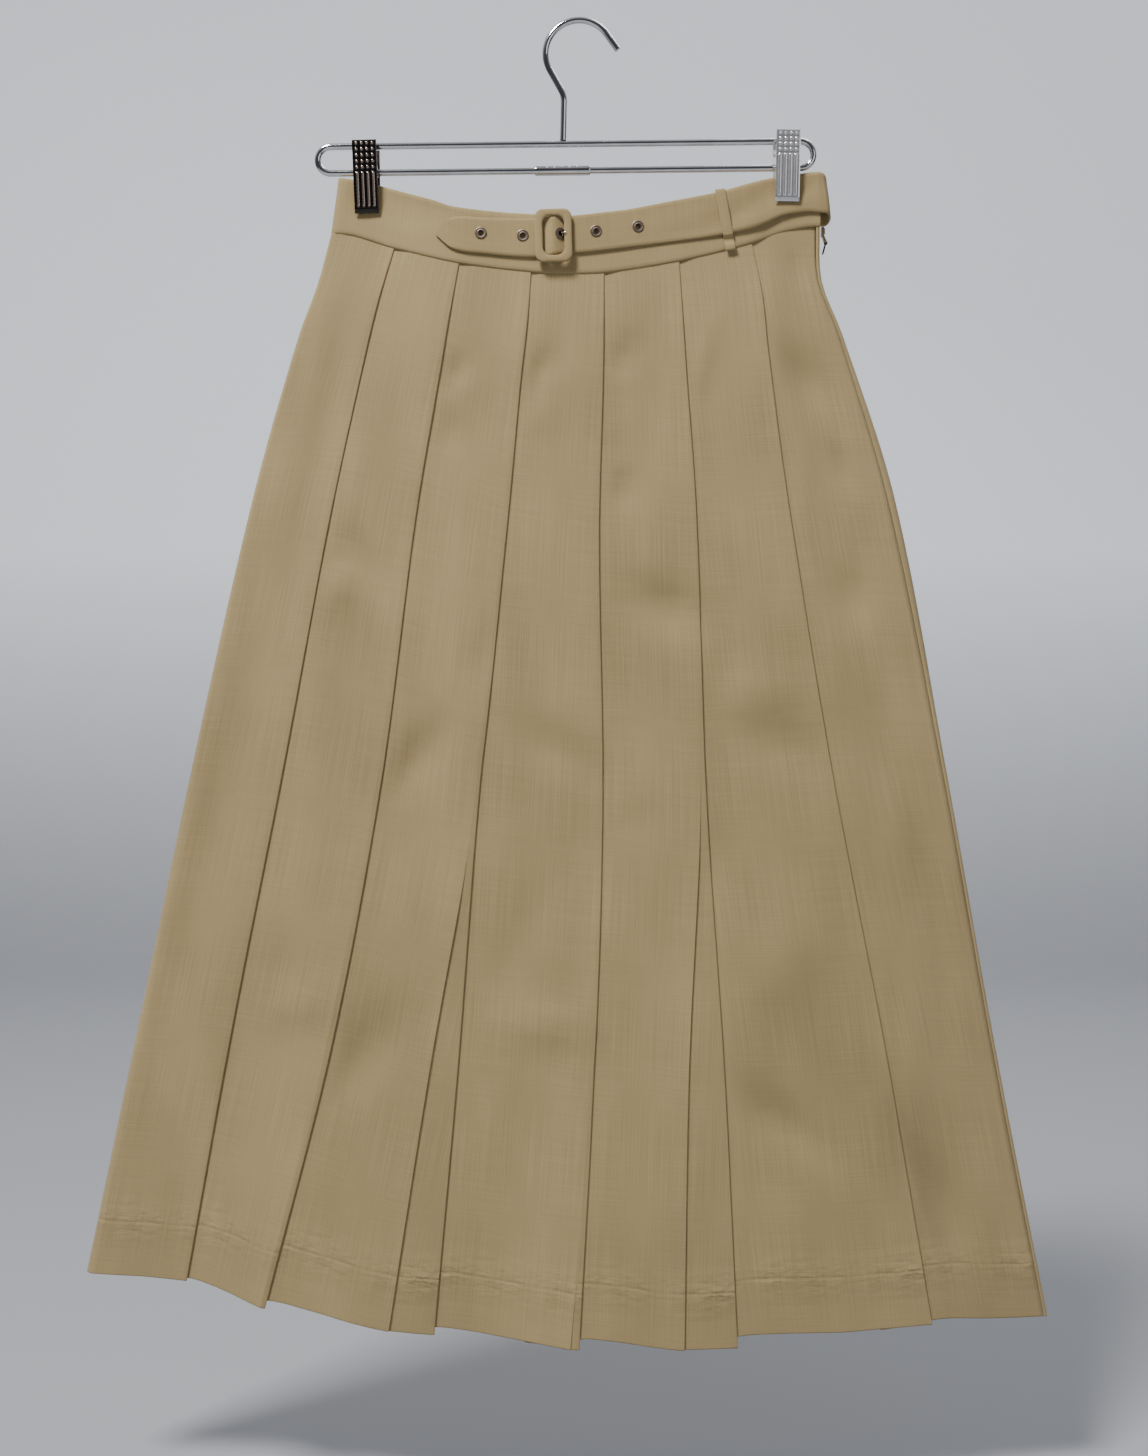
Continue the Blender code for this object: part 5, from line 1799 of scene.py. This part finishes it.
@dataclass
class SideZip:
    """Finishes of the solids that keep their shape: the zip's three and the buckle's tab."""

    finishes: tuple[tuple[str, ClothFinish | MetalFinish], ...] = (
        ("zip_chain", TAPE_CLOTH), ("zip_slider", BRASS), ("zip_pull", BLACKED), ("buckle_tab", BELT_CLOTH))

    def build(self, nodes: dict[str, Piece]) -> None:
        """Dress the solids.

        Args:
            nodes: the frame's solids by name.
        """
        for name, finish in self.finishes:
            material = finish.material()
            for slot in nodes[name].material_slots:
                slot.material = material


# Studio

@dataclass(frozen=True)
class Lamp:
    """One area light: its place in metres, width, watts and colour."""

    name: str
    place: Triple
    size: float
    power: float
    colour: Triple


@dataclass
class Studio:
    """Pale sweep, soft lights and the camera of the photograph, in metres."""

    floor: float = -1.02
    pale: Triple = (0.78, 0.82, 0.88)
    ground: Triple = (0.34, 0.35, 0.38)
    # Strength of the sweep's painted glow on the wall.
    glow: float = 0.5
    roughness: float = 0.9
    wall: float = 3.4
    bend: float = 1.0
    reach: float = 5.0
    top: float = 3.4
    eye: Triple = (-0.00364, -1.2, -0.49315)
    lens: float = 53.76
    aim: Triple = (0, 0, -0.5)
    lamps: tuple[Lamp, ...] = (
        Lamp("key", (-1.1, -1.5, 2.15), 0.7, 138.0, (1.0, 0.98, 0.95)),
        Lamp("fill", (1.5, -1.8, 0.2), 1.4, 6.0, (0.98, 0.98, 1.0)),
        Lamp("rear", (0.9, 1.5, 1.9), 1.0, 30.0, (1.0, 1.0, 1.0)))
    sky_up: Triple = (-0.1, 0.5, 0.8)
    sky: tuple[tuple[float, Triple], ...] = (
        (0.0, (0.11, 0.11, 0.12)), (0.3, (0.45, 0.46, 0.48)), (0.75, (0.95, 0.97, 1.0)))
    sky_strength: float = 0.5

    def camera(self) -> None:
        """Place the camera level with the middle of the picture."""
        lens = bpy.data.cameras.new("camera")
        lens.lens, lens.sensor_width, lens.sensor_fit = self.lens, 36.0, "HORIZONTAL"
        lens.clip_start = 0.01
        camera = linked("camera", lens)
        camera.location = self.eye
        camera.rotation_euler = (math.pi / 2, 0, 0)
        bpy.context.scene.camera = camera

    def light(self, lamp: Lamp) -> None:
        """Hang an area light that faces the skirt.

        Args:
            lamp: its sizes.
        """
        light = bpy.data.lights.new(lamp.name, "AREA")
        light.energy, light.size, light.color = lamp.power, lamp.size, lamp.colour
        hung = linked(lamp.name, light)
        hung.location = lamp.place
        hung.rotation_euler = (Vector(self.aim) - Vector(lamp.place)).to_track_quat("-Z", "Y").to_euler()

    def sweep(self) -> None:
        """Build the floor that curves up into the backdrop; it glows as painted light, more towards the wall.
        """
        start = self.wall - self.bend
        curved = arc((start, self.floor + self.bend), self.bend, map(math.radians, range(-80, 1, 10)))
        profile = [(-self.reach, self.floor), (start, self.floor), *curved, (self.wall, self.top)]
        form = loft([[Vector((x, y, z)) for x in (-self.reach, self.reach)] for y, z in profile])
        mesh = meshed("sweep", form)
        mesh.shade_smooth()
        bench = NodeBench(bpy.data.materials.new("pale paper"))
        height = bench.node("ShaderNodeSeparateXYZ", {0: bench.object_place()}).outputs[2]
        rise = bench.spread(height, self.floor, self.floor + self.bend)
        colour = bench.ramp(rise, (0.0, self.ground), (1.0, self.pale))
        # Painted light: the sweep glows in its own colour, none on the flat floor, rising through the bend to
        # full on the wall.
        glow = bench.sum_of(rise, self.glow, "MULTIPLY")
        bench.dress({"Base Color": colour, "Emission Color": colour, "Emission Strength": glow,
                     "Roughness": self.roughness})
        bench.owner.cycles.emission_sampling = "NONE"
        mesh.materials.append(bench.owner)
        sweep = linked("sweep", mesh)

    def surroundings(self) -> None:
        """Give the metal a soft room to mirror, dark below and bright above."""
        world = bpy.data.worlds.new("studio")
        bpy.context.scene.world = world
        bench = NodeBench(world, "Background")
        around = bench.node("ShaderNodeTexCoord").outputs["Generated"]
        rise = bench.node("ShaderNodeVectorMath", {0: around, 1: self.sky_up}, operation="DOT_PRODUCT")
        bench.dress({"Color": bench.ramp(rise.outputs["Value"], *self.sky), "Strength": self.sky_strength})

    def build(self) -> None:
        """Build camera, lights and sweep."""
        self.camera()
        self.sweep()
        self.surroundings()
        for lamp in self.lamps:
            self.light(lamp)


def main() -> None:
    """Build every piece of the skirt, its hanger and the studio."""
    logging.basicConfig(level=logging.INFO, format="%(message)s")
    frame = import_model()
    wire = WireHanger()
    band = Waistband()
    PleatedSkirt().build()
    band.build()
    Belt(band).build()
    Buckle(band).build()
    SideZip().build(frame["nodes"])
    wire.build()
    coil_metal = BRIGHT.material()
    SkirtClip(wire, "left", -148.8, -1.6, 19.4, 29.4, 3.1, GUNMETAL, "dark_chrome").build(coil_metal)
    SkirtClip(wire, "right", 145.0, 0.8, 23.0, 25.2, 5.4, STAMPED, "bright_metal", dot_rows=4,
              dot_pitch=3.65, dot_radius=1.1).build(coil_metal)
    Studio().build()


if __name__ == "__main__":
    main()
